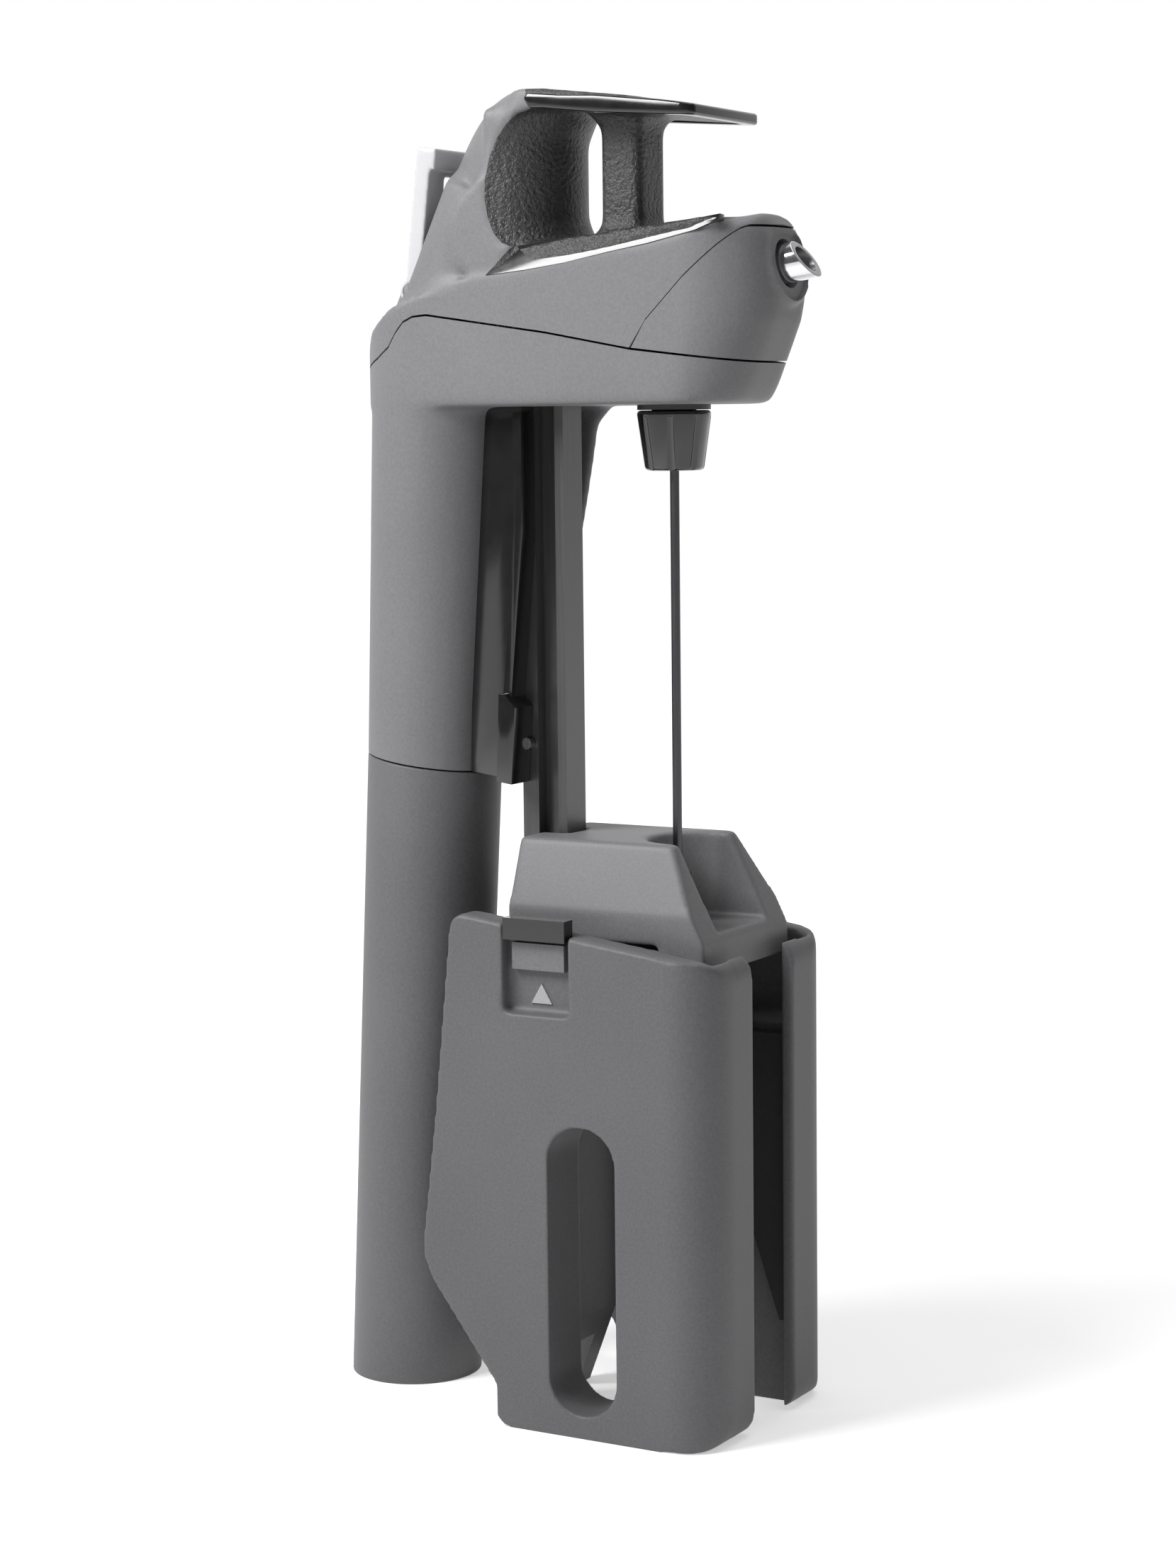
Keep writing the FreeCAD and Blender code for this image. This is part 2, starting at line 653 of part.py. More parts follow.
stop_back = rail_back + rail_front_thick + rail_groove / 2
stop_pin = across_x(as_size(0.8), stop_back, 32, rail_web_half + 0.4)
stop_hole = across_x(as_size(0.8) + run_gap, stop_back, 32, rail_web_half + 0.4)
keep("rail", cut(slab(rail_outline(), rail_low, rail_high, "XY_Plane"), stop_hole, *rail_pins(5.0, run_gap)))
for label, dowel in zip(("rail_pin_low", "rail_pin_high"), rail_pins(4.9, 0)):
    keep(label, dowel)

stop_half = rail_groove / 2 - run_gap
stop_blocks = [box((low, behind(stop_back - stop_half), shoe_low - 4.3),
                   (high, behind(stop_back + stop_half), shoe_low - 0.1))
               for low, high in ((rail_web_half + run_gap, rail_half), (-rail_half, -rail_web_half - run_gap))]
keep("rail_end_stop", fuse(stop_pin, *stop_blocks))

# ---------------------------------------------------------------- spout, passage, hub and needle
spout_blank = along_spout(spout_length, spout_radius, spout_radius, spout_length + 1)
spout_tip = (0, behind(-spout_end), spout_height)
end_tool = cylinder(12, 12, spout_tip, (1, 0, 0), 90 - spout_rise - spout_cut)
spout_way = along_spout(spout_length + 1, spout_bore, spout_bore, spout_length + 3)
keep("spout_tube", cut(spout_blank, end_tool, spout_way))
collar_back = as_size(8.6)
collar = along_spout(collar_back, spout_radius + collar_gap - seat_gap, spout_radius + collar_gap - seat_gap,
                     collar_length)
collar_way = along_spout(collar_back + 1, spout_radius + run_gap, spout_radius + run_gap, collar_length + 2)
keep("spout_collar", cut(collar, collar_way))

passage = slab(side((-passage_front, head_z + shell_wall), (passage_back, head_z + shell_wall),
                    (passage_back, 182.0), (2.0, passage_high - 1.5), (-passage_front, passage_high)),
               -passage_half, passage_half)
spout_seat = along_spout(spout_length + seat_gap, spout_radius + run_gap, spout_radius + run_gap, 20)
wine_way = cylinder(needle_radius + 0.6, 14.5, (0, needle_y, head_z + 1))
gas_seat = across_y(pipe_radius + run_gap, 0, 172, 3.5, 10)
hub_seat = cylinder(hub_neck_radius + seat_gap, 4, (0, needle_y, head_z + 1))
keep("passage_block", cut(passage, spout_seat, wine_way, gas_seat, hub_seat))

hub_disc_low = nut_high + seat_gap
hub = fuse(cylinder(hub_radius, head_z - hub_disc_low, (0, needle_y, hub_disc_low)),
           cylinder(hub_stub_radius, head_z - hub_stub_low, (0, needle_y, hub_stub_low)),
           cylinder(hub_neck_radius, 5 - seat_gap, (0, needle_y, head_z)))
hub_way = cylinder(needle_radius + run_gap, 20, (0, needle_y, hub_stub_low - 1))
ring_seat = cylinder(2.2, 2.0, (0, needle_y, hub_stub_low - 1))
keep("needle_hub", cut(hub, hub_way, ring_seat))
seal_outer = cylinder(2.15, 0.9, (0, needle_y, hub_stub_low + seat_gap / 2))
seal_inner = cylinder(needle_radius + run_gap, 2, (0, needle_y, hub_stub_low - 0.5))
keep("needle_seal", cut(seal_outer, seal_inner))

needle = fuse(cylinder(needle_radius, head_z + 3 - needle_low, (0, needle_y, needle_low)),
              cylinder(ferrule_radius, hub_stub_low - ferrule_low - seat_gap, (0, needle_y, ferrule_low)))
keep("needle", cut(needle, cylinder(needle_bore, 100, (0, needle_y, needle_low + 3))))

nut_slope = bearing(nut_high_radius - nut_low_radius, nut_high - nut_low)
nut_blank = cone(nut_low_radius, nut_high_radius, nut_high - nut_low, (0, needle_y, nut_low))
nut_room = cylinder(hub_stub_radius + run_gap, 12, (0, needle_y, hub_stub_low - seat_gap))
ferrule_room = cylinder(ferrule_radius + run_gap, 3, (0, needle_y, ferrule_low))
nut_hole = cylinder(needle_radius + run_gap, 5, (0, needle_y, nut_low - 1))
flutes = []
for number in range(flute_count):
    turn = math.radians(360 / flute_count * (number + 0.5))
    reach = nut_low_radius + 0.35
    flutes.append(cone(0.75, 0.55, nut_high - nut_low - 1.6,
                       (reach * math.cos(turn), needle_y + reach * math.sin(turn), nut_low - 0.1),
                       (-math.sin(turn), math.cos(turn), 0), nut_slope))
keep("needle_nut", cut(nut_blank, nut_room, ferrule_room, nut_hole, *flutes))

# ---------------------------------------------------------------- cup, capsule and regulator
cup_bottom = as_size(-2.0)
above_seam = slab(side((10, seam_line(10, -face_gap / 2)), (70, seam_line(70, -face_gap / 2)), (70, 140),
                       (10, 140)), -20, 20)
under_floor = box((-20, behind(20), -20), (20, behind(80), 0))
cup_room = tube_cylinder(capsule_radius + seat_gap * 2, cup_floor + 0.8, 120)
cup_thread_room = tube_cylinder(thread_radius + run_gap, thread_low - 1, 120)
keep("capsule_cup", cut(tube_cone(cup_low_radius, seam_radius, cup_bottom, seam_height + 4), above_seam,
                        under_floor, cup_room, cup_thread_room))

pad_low = cup_floor + 0.8
keep("capsule_pad", tube_cylinder(capsule_radius - 1.0, pad_low, pad_low + capsule_pad_thick))
shoulder = capsule_body + 8
neck_start = capsule_length - 14
keep("gas_capsule", tube_turned(
    [(0.0, 0.0), (6.0, 0.0), (capsule_radius, 3.0), (capsule_radius, capsule_body),
     (capsule_radius - 1.6, capsule_body + 4.4), (capsule_neck_radius, shoulder + 0.5),
     (capsule_neck_radius - 0.6, neck_start), (capsule_neck_radius, neck_start + 2),
     (capsule_neck_radius, capsule_length), (pin_radius + 0.1, capsule_length),
     (pin_radius + 0.1, capsule_length - 5), (0.0, capsule_length - 5)], pad_low + capsule_pad_thick))
capsule_top = pad_low + capsule_pad_thick + capsule_length * cosine(tube_tilt)

ring_wall = tube_cylinder(thread_radius - thread_wall, thread_low - 2, thread_high + 2)
keep("cup_thread_ring", cut(tube_cylinder(thread_radius, thread_low, thread_high), ring_wall))
regulator_radius = thread_radius - thread_wall - seat_gap
regulator_room = tube_cylinder(regulator_bore + run_gap, piston_low - 1, regulator_high + 2)
regulator_way = tube_cylinder(pin_radius + run_gap, regulator_low - 2, piston_low)
keep("regulator_body", cut(tube_cylinder(regulator_radius, regulator_low, regulator_high), regulator_room,
                           regulator_way))
keep("piercing_pin", cut(tube_cylinder(pin_radius, capsule_top - 3, piston_low - 1.1),
                         tube_cylinder(0.4, capsule_top - 4, piston_low + 1)))
keep("capsule_seal", cut(tube_cylinder(capsule_neck_radius + 0.2, capsule_top + face_gap, regulator_low - seat_gap),
                         tube_cylinder(pin_radius + run_gap, capsule_top - 2, regulator_low + 2)))
piston_high = piston_low + piston_thick
keep("regulator_piston", tube_cylinder(regulator_bore, piston_low, piston_high))
cap_low = regulator_high - cap_thick
keep("regulator_cap", cut(tube_cylinder(regulator_bore, cap_low, regulator_high),
                          tube_cylinder(pipe_radius + run_gap, cap_low - 2, regulator_high + 2)))
spring_wire = as_size(0.6)
spring_low = piston_high + spring_wire + seat_gap
spring_length = (cap_low - spring_low) / cosine(tube_tilt) - spring_wire - seat_gap
keep("regulator_spring", coil(4.6, spring_wire, 3.1, spring_length, tube_axis(spring_low), (1, 0, 0), tube_tilt))

feed_low = regulator_high - 2
feed_start = tube_back + (head_z - feed_low) * tangent(tube_tilt)
keep("feed_tube", pipe(pipe_radius, (feed_start, feed_low), (tube_back - 0.2, 168.5), (feed_back, 175.5),
                       (feed_back, valve_height - valve_radius - seat_gap)))
keep("gas_tube", pipe(pipe_radius, (out_back, valve_height - valve_radius - seat_gap), (out_back, 177.0),
                      (13.0, 172.0), (3.6, 172.0)))

# ---------------------------------------------------------------- trigger and valve
trigger_plate = trigger_box((-trigger_half, -half_thick, 0), (trigger_half, half_thick, trigger_length))
lip = trigger_box((-trigger_half, -half_thick - 0.9, trigger_length - 3.4),
                  (trigger_half, -half_thick + 0.1, trigger_length))
window = trigger_box((-trigger_window, -4, 8.2), (trigger_window, 4, trigger_length - 4.4))
middle_room = trigger_box((-trigger_window, -6, -6), (trigger_window, 6, 3.6))
barrel = across_x(barrel_radius, trigger_back - half_thick, trigger_pivot, trigger_half)
keep("trigger_lever", cut(fuse(trigger_plate, lip, barrel), window, middle_room,
                          across_x(trigger_pin_radius + run_gap, trigger_back - half_thick, trigger_pivot,
                                   trigger_half + 1)))
keep("trigger_pin", across_x(trigger_pin_radius, trigger_back - half_thick, trigger_pivot, as_size(9.4)))
keep("trigger_spring", coil(1.75, 0.35, 1.0, 5.6, (-2.8, trigger_foot[1], trigger_pivot), (0, 1, 0), 90))

stem_back = trigger_back - (valve_height - trigger_pivot) * tangent(trigger_lean) - trigger_thick - 0.35
keep("valve_stem", across_y(stem_radius, 0, valve_height, valve_front + 1.6, stem_back))
valve_shell = across_y(valve_radius, 0, valve_height, valve_front, valve_back)
keep("valve_body", cut(valve_shell, across_y(stem_radius + run_gap, 0, valve_height, valve_front + 0.8, valve_back + 1)))
seal_low, seal_high = valve_back + seat_gap, valve_back + 1.6
keep("valve_seal", cut(across_y(valve_radius, 0, valve_height, seal_low, seal_high),
                       across_y(stem_radius + run_gap, 0, valve_height, valve_back - 1, valve_back + 3)))

# ---------------------------------------------------------------- clamp
block_ends = [(-block_top_half, block_top), (-block_half, block_shoulder), (-block_half, block_low),
              (block_half, block_low), (block_half, block_shoulder), (block_top_half, block_top)]
block_front_view = slab(block_ends, behind(-block_front - 1), behind(block_back), "XZ_Plane")
block_side_view = slab(side((block_back, block_low), (block_back, block_top), (-block_top_front, block_top),
                            (-block_front, block_brow), (-block_front - 0.4, block_chin), (-2, block_chin),
                            (-2, block_low)), -block_half - 1, block_half + 1)
mouth = slab([(-mouth_half, behind(-mouth_centre) + mouth_half), (mouth_half, behind(-mouth_centre) + mouth_half),
              (mouth_half, behind(-20)), (-mouth_half, behind(-20))], mouth_floor, block_top + 5, "XY_Plane",
             rounds=[(8.3, 0, 1)])
groove = box((-clamp_groove, behind(rail_back - face_gap), -5), (clamp_groove, behind(30), 100))
pin_front, pin_back = -9.0, 20.5
pocket_front, pocket_back = -knuckle_front - face_gap, knuckle_rear + knuckle_width + face_gap


def on_both_sides(make):
    """Build one shape on the near side and once more, mirrored, on the far side."""
    return [make(-1), make(1)]


def side_box(sign, inner, outer, back_low, back_high, low, high):
    """A box between two distances from the symmetry plane, on one side of it."""
    first, second = (as_size(inner), as_size(outer)) if sign > 0 else (-as_size(outer), -as_size(inner))
    return box((first, behind(back_low), low), (second, behind(back_high), high))


pockets = on_both_sides(lambda sign: side_box(sign, hinge_half - 3.1, block_half + 1, pocket_front, pocket_back,
                                              hinge_height - 3.2, hinge_height + 3.4))
hinge_holes = on_both_sides(lambda sign: across_y(hinge_pin_radius + run_gap, hinge_half * sign, hinge_height,
                                                  pin_front - 0.1, pin_back + 0.1))
screw_holes = on_both_sides(lambda sign: cylinder(screw_radius + run_gap, 18,
                                                  (screw_spread * sign, behind(20.6), block_low - 8)))
needle_room = cylinder(needle_way, 40, (0, needle_y, block_low - 2))
keep("clamp_block", cut(common(block_front_view, block_side_view), mouth, groove, needle_room, *pockets,
                        *hinge_holes, *screw_holes))
keep("needle_guide", cut(cone(guide_radius, guide_radius - 0.8, guide_high - mouth_floor,
                              (0, needle_y, mouth_floor)),
                         cylinder(needle_radius + run_gap, 20, (0, needle_y, mouth_floor - 2))))
spine = slab(side((spine_front, block_low), (block_back, block_low), (block_back, 0.0), (22.2, 0.0),
                  (spine_front, 14.0)), -spine_half, spine_half)
keep("clamp_spine", cut(spine, groove, *screw_holes))
for name, sign in (("near", -1), ("far", 1)):
    keep(f"spine_screw_{name}", cylinder(screw_radius, 17.9, (screw_spread * sign, behind(20.6), block_low - 8)))
    shoe_front = rail_back + rail_front_thick + run_gap
    shoe_rear = rail_back + rail_front_thick + rail_groove - run_gap
    shoe_corners = [(rail_web_half + run_gap, shoe_front), (clamp_groove, shoe_front),
                    (clamp_groove, block_back), (channel_groove - 0.1, block_back),
                    (channel_groove - 0.1, shoe_rear), (rail_web_half + run_gap, shoe_rear)]
    keep(f"guide_shoe_{name}", slab([(x * sign, behind(back)) for x, back in shoe_corners], shoe_low, shoe_high,
                                    "XY_Plane"))
    keep(f"hinge_pin_{name}", across_y(hinge_pin_radius, hinge_half * sign, hinge_height, pin_front, pin_back))
    spring_room = knuckle_rear - (-knuckle_front + knuckle_width)
    coil_length = spring_room - 1.4
    keep(f"panel_spring_{name}", coil(1.75, 0.4, 1.15, coil_length,
                                      (hinge_half * sign, behind(knuckle_rear - 0.7), hinge_height), (1, 0, 0), 90))

# ---------------------------------------------------------------- panels
panel_profile = side((-panel_front, 0.0), (22.6, 0.0), (22.6, 6.9), (34.5, 22.8), (36.2, 26.6), (36.2, 29.4),
                     (33.4, 51.9), (30.0, 84.3), (-panel_front, 78.2))
slot_middle = slot_front + slot_width / 2


def mirrored_slab(sign, corners, low, high, plane="YZ_Plane", rounds=()):
    """A slab between two distances from the symmetry plane, or, seen from above, with its x turned over."""
    if plane == "YZ_Plane":
        first, second = (as_size(low), as_size(high)) if sign > 0 else (-as_size(high), -as_size(low))
        return slab(corners, first, second, plane, rounds)
    return slab([(as_size(x) * sign, y) for x, y in corners], low, high, plane, rounds)


def panel(sign):
    """One jaw of the clamp: skin, front lip, slotted boss and two knuckles."""
    blank = mirrored_slab(sign, panel_profile, panel_lip, panel_half, rounds=[(4.0, 0, 8), (2.5, 1), (3.0, 7)])
    plan = mirrored_slab(sign, [(panel_lip, behind(-panel_front)), (panel_half, behind(-panel_front)),
                                (panel_half, behind(38)), (panel_skin_inner, behind(38)),
                                (panel_skin_inner, behind(panel_boss_back)),
                                (panel_inner, behind(panel_boss_back)),
                                (panel_inner, behind(-panel_front + panel_lip_thick)),
                                (panel_lip, behind(-panel_front + panel_lip_thick))],
                         -1, 90, "XY_Plane", rounds=[(panel_corner, 1)])
    pocket = side_box(sign, 0, panel_skin_inner, -panel_front + panel_lip_thick, 40, pocket_low, 95)
    slot = mirrored_slab(sign, side((slot_front, slot_low), (slot_front + slot_width, slot_low),
                                    (slot_front + slot_width, slot_high), (slot_front, slot_high)),
                         panel_inner - 1, panel_half + 1, rounds=[(slot_width * 0.49, 0, 1, 2, 3)])
    recess = side_box(sign, panel_half - recess_depth, panel_half + 1, recess_front,
                      recess_front + recess_width, recess_low, 95)
    knuckles = []
    for front in (-knuckle_front, as_size(knuckle_rear)):
        knuckles.append(across_y(knuckle_radius, hinge_half * sign, hinge_height, front, front + knuckle_width))
        knuckles.append(side_box(sign, hinge_half, panel_skin_inner + 0.5, front, front + knuckle_width,
                                 hinge_height - 1.4, hinge_height + 1.4))
    bore = across_y(hinge_pin_radius + run_gap, hinge_half * sign, hinge_height, -10, 25)
    return cut(fuse(cut(common(blank, plan), pocket, slot, recess), *knuckles), bore)


for name, sign in (("near", -1), ("far", 1)):
    keep(f"panel_{name}", panel(sign))
    floor_x = panel_half - recess_depth
    keep(f"latch_carrier_{name}", side_box(sign, floor_x, floor_x + 1.3, recess_front + 1.2,
                                           recess_front + recess_width - 1.2, 75.5, 79.8))
    tab_boxes = [side_box(sign, floor_x, panel_half + 0.3, recess_front + 0.3,
                          recess_front + recess_width - 0.3, 80.4, 83.9)]
    keep(f"latch_tab_{name}", tab_boxes[0])
    keep(f"arrow_mark_{name}", mirrored_slab(sign, side((12.3, 70.0), (16.1, 70.0), (14.2, 73.2)), floor_x,
                                             floor_x + 0.25))
    keep(f"jaw_pad_{name}", mirrored_slab(sign, side((-14.6, 14.5), (-13.4, 14.5), (-7.0, 33.6), (-0.6, 53.0),
                                                     (14.0, 53.0), (14.0, 62.5), (-14.6, 62.5)),
                                          panel_inner - jaw_pad_thick, panel_inner))

# ---------------------------------------------------------------- check and write
doc.recompute()
for thing in doc.Objects:
    if {"Invalid", "Error"} & set(thing.State):
        raise RuntimeError(f"{thing.Name} {thing.Label} {thing.State}")
os.makedirs("parts", exist_ok=True)
for label, thing in pieces.items():
    shape = thing.Shape
    if shape.isNull() or not shape.isValid() or len(shape.Solids) != 1:
        raise RuntimeError(f"{label} is not one valid solid")
    shape.exportStep(f"parts/{label}.step")
print(len(pieces), "sub-parts written")
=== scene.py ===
"""Looks for the needle wine access tool: moulded shells, their finishes, a pale studio and its camera."""
import bpy
import json
import math
from mathutils import Matrix, Vector


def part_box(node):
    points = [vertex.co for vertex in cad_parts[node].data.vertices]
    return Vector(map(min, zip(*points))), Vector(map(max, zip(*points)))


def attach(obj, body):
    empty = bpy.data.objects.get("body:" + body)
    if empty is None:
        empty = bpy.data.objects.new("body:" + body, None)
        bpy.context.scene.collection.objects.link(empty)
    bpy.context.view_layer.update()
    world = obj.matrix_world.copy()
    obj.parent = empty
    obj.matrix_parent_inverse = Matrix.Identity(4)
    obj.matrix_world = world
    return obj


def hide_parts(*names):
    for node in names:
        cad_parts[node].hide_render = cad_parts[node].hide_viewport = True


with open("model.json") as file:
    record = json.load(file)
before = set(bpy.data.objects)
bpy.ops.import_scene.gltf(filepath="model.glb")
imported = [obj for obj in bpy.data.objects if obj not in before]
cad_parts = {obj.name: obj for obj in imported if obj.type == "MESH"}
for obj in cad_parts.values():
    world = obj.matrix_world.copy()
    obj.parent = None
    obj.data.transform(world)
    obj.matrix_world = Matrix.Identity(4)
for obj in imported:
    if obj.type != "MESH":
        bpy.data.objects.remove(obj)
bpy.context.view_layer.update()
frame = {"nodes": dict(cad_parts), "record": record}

MM = 0.001
nodes = frame["nodes"]
body_of_node = {n: b for b, members in frame["record"]["behaviour"]["bodies"].items() for n in members}
slot_of_node = {row["node"]: row["material_slot"] for row in frame["record"]["subparts"]}
needle_low, needle_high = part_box("needle")
needle_y = (needle_low.y + needle_high.y) / 2


def behind(distance):
    """Metres along Y for a distance in mm behind the needle."""
    return needle_y + distance * MM


# ---------------------------------------------------------------- finishes

def linear(hex_code):
    """An sRGB hex colour as linear RGBA."""
    channels = [int(hex_code[n:n + 2], 16) / 255 for n in (1, 3, 5)]
    return tuple(c / 12.92 if c <= 0.04045 else ((c + 0.055) / 1.055) ** 2.4 for c in channels) + (1.0,)


def add(tree, kind, settings=(), links=()):
    """Add a node, set its named properties or inputs, and link its inputs to (node, output) pairs."""
    made = tree.nodes.new(kind)
    for name, value in dict(settings).items():
        if isinstance(name, str) and hasattr(made, name):
            setattr(made, name, value)
        else:
            made.inputs[name].default_value = value
    for name, (source, output) in dict(links).items():
        tree.links.new(source.outputs[output], made.inputs[name])
    return made


def finish_named(name):
    """A new material with its node tree, shader and object coordinates."""
    made = bpy.data.materials.new(name)
    made.use_nodes = True
    tree = made.node_tree
    shader = tree.nodes["Principled BSDF"]
    place = add(tree, "ShaderNodeTexCoord")
    return made, tree, shader, place


def grained(name, dark, pale, grain_mm, cloud_mm, rough, rough_spread, depth_mm, ior=1.5, coat=0.0, coat_rough=0.1,
            metallic=0.0, stretch=(1, 1, 1), strength=0.5):
    """A finish whose colour and gloss drift over cloud_mm and whose surface has bumps of grain_mm."""
    made, tree, shader, place = finish_named(name)
    along = add(tree, "ShaderNodeMapping", {"Scale": stretch}, {"Vector": (place, "Object")})
    grain = add(tree, "ShaderNodeTexNoise", {"Scale": 1 / (grain_mm * MM), "Detail": 3.0, "Roughness": 0.6},
                {"Vector": (along, "Vector")})
    cloud = add(tree, "ShaderNodeTexNoise", {"Scale": 1 / (cloud_mm * MM), "Detail": 2.0},
                {"Vector": (place, "Object")})
    mixed = add(tree, "ShaderNodeMix", {"data_type": "FLOAT", 0: 0.35}, {2: (grain, "Fac"), 3: (cloud, "Fac")})
    colour = add(tree, "ShaderNodeValToRGB", {}, {"Fac": (mixed, 0)})
    colour.color_ramp.elements[0].position, colour.color_ramp.elements[0].color = 0.36, linear(dark)
    colour.color_ramp.elements[1].position, colour.color_ramp.elements[1].color = 0.64, linear(pale)
    gloss = add(tree, "ShaderNodeMapRange", {"From Min": 0.3, "From Max": 0.7, "To Min": rough - rough_spread,
                                             "To Max": rough + rough_spread}, {"Value": (mixed, 0)})
    bump = add(tree, "ShaderNodeBump", {"Strength": strength, "Distance": depth_mm * MM}, {"Height": (grain, "Fac")})
    tree.links.new(colour.outputs["Color"], shader.inputs["Base Color"])
    tree.links.new(gloss.outputs["Result"], shader.inputs["Roughness"])
    tree.links.new(bump.outputs["Normal"], shader.inputs["Normal"])
    shader.inputs["Metallic"].default_value = metallic
    if not metallic:
        shader.inputs["IOR"].default_value = ior
    shader.inputs["Coat Weight"].default_value = coat
    shader.inputs["Coat Roughness"].default_value = coat_rough
    return made


# ABS with a soft-touch lacquer over a spark-eroded mould grain: dull, even, with a fine speckle under side light.
soft_abs = grained("abs_soft_touch_lacquer", "#6c6c6e", "#78787a", 0.45, 30, 0.52, 0.04, 0.035)
# The same lacquer painted one tone deeper on the two jaws and the cup: painted shade for the weaker light low on the
# tool.
shaded_abs = grained("abs_soft_touch_lacquer_painted_shade", "#5c5c5e", "#68686a", 0.45, 30, 0.54, 0.04, 0.035)
# TPE overmould with a pebbled leather grain: near black, broken into small dull lights.
pebbled_tpe = grained("tpe_pebbled_overmould", "#2a2a2b", "#3c3c3d", 0.7, 12, 0.4, 0.08, 0.4, strength=1.0)
# Black anodised aluminium, drawn lengthways: deep grey with faint upright streaks.
drawn_aluminium = grained("aluminium_black_anodised_drawn", "#3c3c3e", "#4a4a4c", 0.5, 40, 0.3, 0.05, 0.01,
                          stretch=(1, 1, 0.02), ior=1.6)
# Black ABS from a polished mould: sharp reflections with a slight ripple.
polished_abs = grained("abs_black_polished_mould", "#171718", "#1c1c1d", 3.0, 20, 0.14, 0.03, 0.01, ior=1.54,
                       coat=0.3)
# Black ABS from a satin mould, inside and under the shells.
satin_abs = grained("abs_black_satin_mould", "#2c2c2d", "#343436", 0.6, 20, 0.42, 0.05, 0.02)
# Nickel plate polished bright.
bright_nickel = grained("nickel_plate_polished", "#d4d4d6", "#dedee0", 1.2, 10, 0.13, 0.03, 0.004, metallic=1.0)
# The same plate over a turned face and a drilled bore: duller, so it holds one even tone.
satin_nickel = grained("nickel_plate_satin", "#9c9c9e", "#a8a8aa", 0.3, 8, 0.36, 0.04, 0.006, metallic=1.0)
# Drawn stainless tube with a dark dry-film coat.
coated_needle = grained("stainless_needle_dark_coat", "#4c4c4e", "#58585a", 0.3, 15, 0.34, 0.05, 0.006, metallic=1.0,
                        stretch=(1, 1, 0.03))
# Drawn and turned stainless steel.
drawn_steel = grained("stainless_steel_drawn", "#a2a2a4", "#b2b2b5", 0.25, 12, 0.3, 0.06, 0.008, metallic=1.0,
                      stretch=(1, 1, 0.1))
# Turned brass.
turned_brass = grained("brass_turned", "#b59a5e", "#c8ad70", 0.2, 10, 0.28, 0.05, 0.008, metallic=1.0,
                       stretch=(0.1, 0.1, 1))
# Moulded nitrile rubber: dull black with a dusty bloom.
nitrile = grained("nitrile_rubber_moulded", "#232323", "#2e2e2e", 0.5, 8, 0.7, 0.06, 0.04, ior=1.52)
# ABS in a light silver metallic paint: pale, fine metal flake, satin.
silver_paint = grained("abs_silver_metallic_paint", "#bcbcbe", "#c8c8ca", 0.25, 20, 0.38, 0.05, 0.01, coat=0.2,
                       coat_rough=0.25)
# Light grey pad-printed mark.
printed_mark = grained("ink_pad_printed_pale", "#a6a6a8", "#b4b4b6", 0.3, 5, 0.45, 0.05, 0.01)

finish_for_slot = {
    "soft_plastic": soft_abs, "grip_liner": pebbled_tpe, "dark_rail": drawn_aluminium, "gloss_plastic": polished_abs,
    "hard_plastic": satin_abs, "bright_spout": bright_nickel, "steel": drawn_steel, "regulator_metal": turned_brass,
    "rubber": nitrile, "silver_plastic": silver_paint, "white_mark": printed_mark,
}
for name, node in nodes.items():
    node.data.materials.clear()
    node.data.materials.append(finish_for_slot[slot_of_node[name]])

for names, finish in ((("needle",), coated_needle), (("latch_carrier_near", "latch_carrier_far"), soft_abs),
                      (("latch_tab_near", "latch_tab_far"), polished_abs)):
    for name in names:
        nodes[name].data.materials[0] = finish


# ---------------------------------------------------------------- modelling by hand

def only(*things):
    """Select these objects alone and make the first one active."""
    if bpy.context.object and bpy.context.object.mode != "OBJECT":
        bpy.ops.object.mode_set(mode="OBJECT")
    bpy.ops.object.select_all(action="DESELECT")
    for thing in things:
        thing.select_set(True)
    if things:
        bpy.context.view_layer.objects.active = things[0]


def modifier(piece, kind, **settings):
    """Add a modifier to a piece and apply it."""
    only(piece)
    made = piece.modifiers.new(kind.lower(), kind)
    for name, value in settings.items():
        setattr(made, name, value)
    bpy.ops.object.modifier_apply(modifier=made.name)


def pick(piece, wanted=None):
    """Go to edit mode with the vertices selected whose place, in mm as (x, behind, z), passes wanted."""
    only(piece)
    bpy.ops.object.mode_set(mode="EDIT")
    bpy.ops.mesh.select_mode(type="VERT")
    bpy.ops.mesh.select_all(action="SELECT" if wanted is None else "DESELECT")
    if wanted is not None:
        bpy.ops.object.mode_set(mode="OBJECT")
        for vertex in piece.data.vertices:
            x, y, z = vertex.co
            vertex.select = wanted(x / MM, (y - needle_y) / MM, z / MM)
        bpy.ops.object.mode_set(mode="EDIT")


def done():
    """Leave edit mode."""
    bpy.ops.object.mode_set(mode="OBJECT")


def relax(piece, repeat, wanted=None):
    """Smooth the picked part of a piece, as with a sculpting brush."""
    pick(piece, wanted)
    bpy.ops.mesh.vertices_smooth(factor=0.5, repeat=repeat)
    done()


def face_outward(piece):
    """Turn all of a closed piece's faces outward."""
    pick(piece)
    bpy.ops.mesh.normals_make_consistent(inside=False)
    done()


def settle(piece, name):
    """Name a piece and move its place into its mesh."""
    only(piece)
    piece.name = piece.data.name = name
    bpy.ops.object.transform_apply(location=True, rotation=True, scale=True)
    return piece


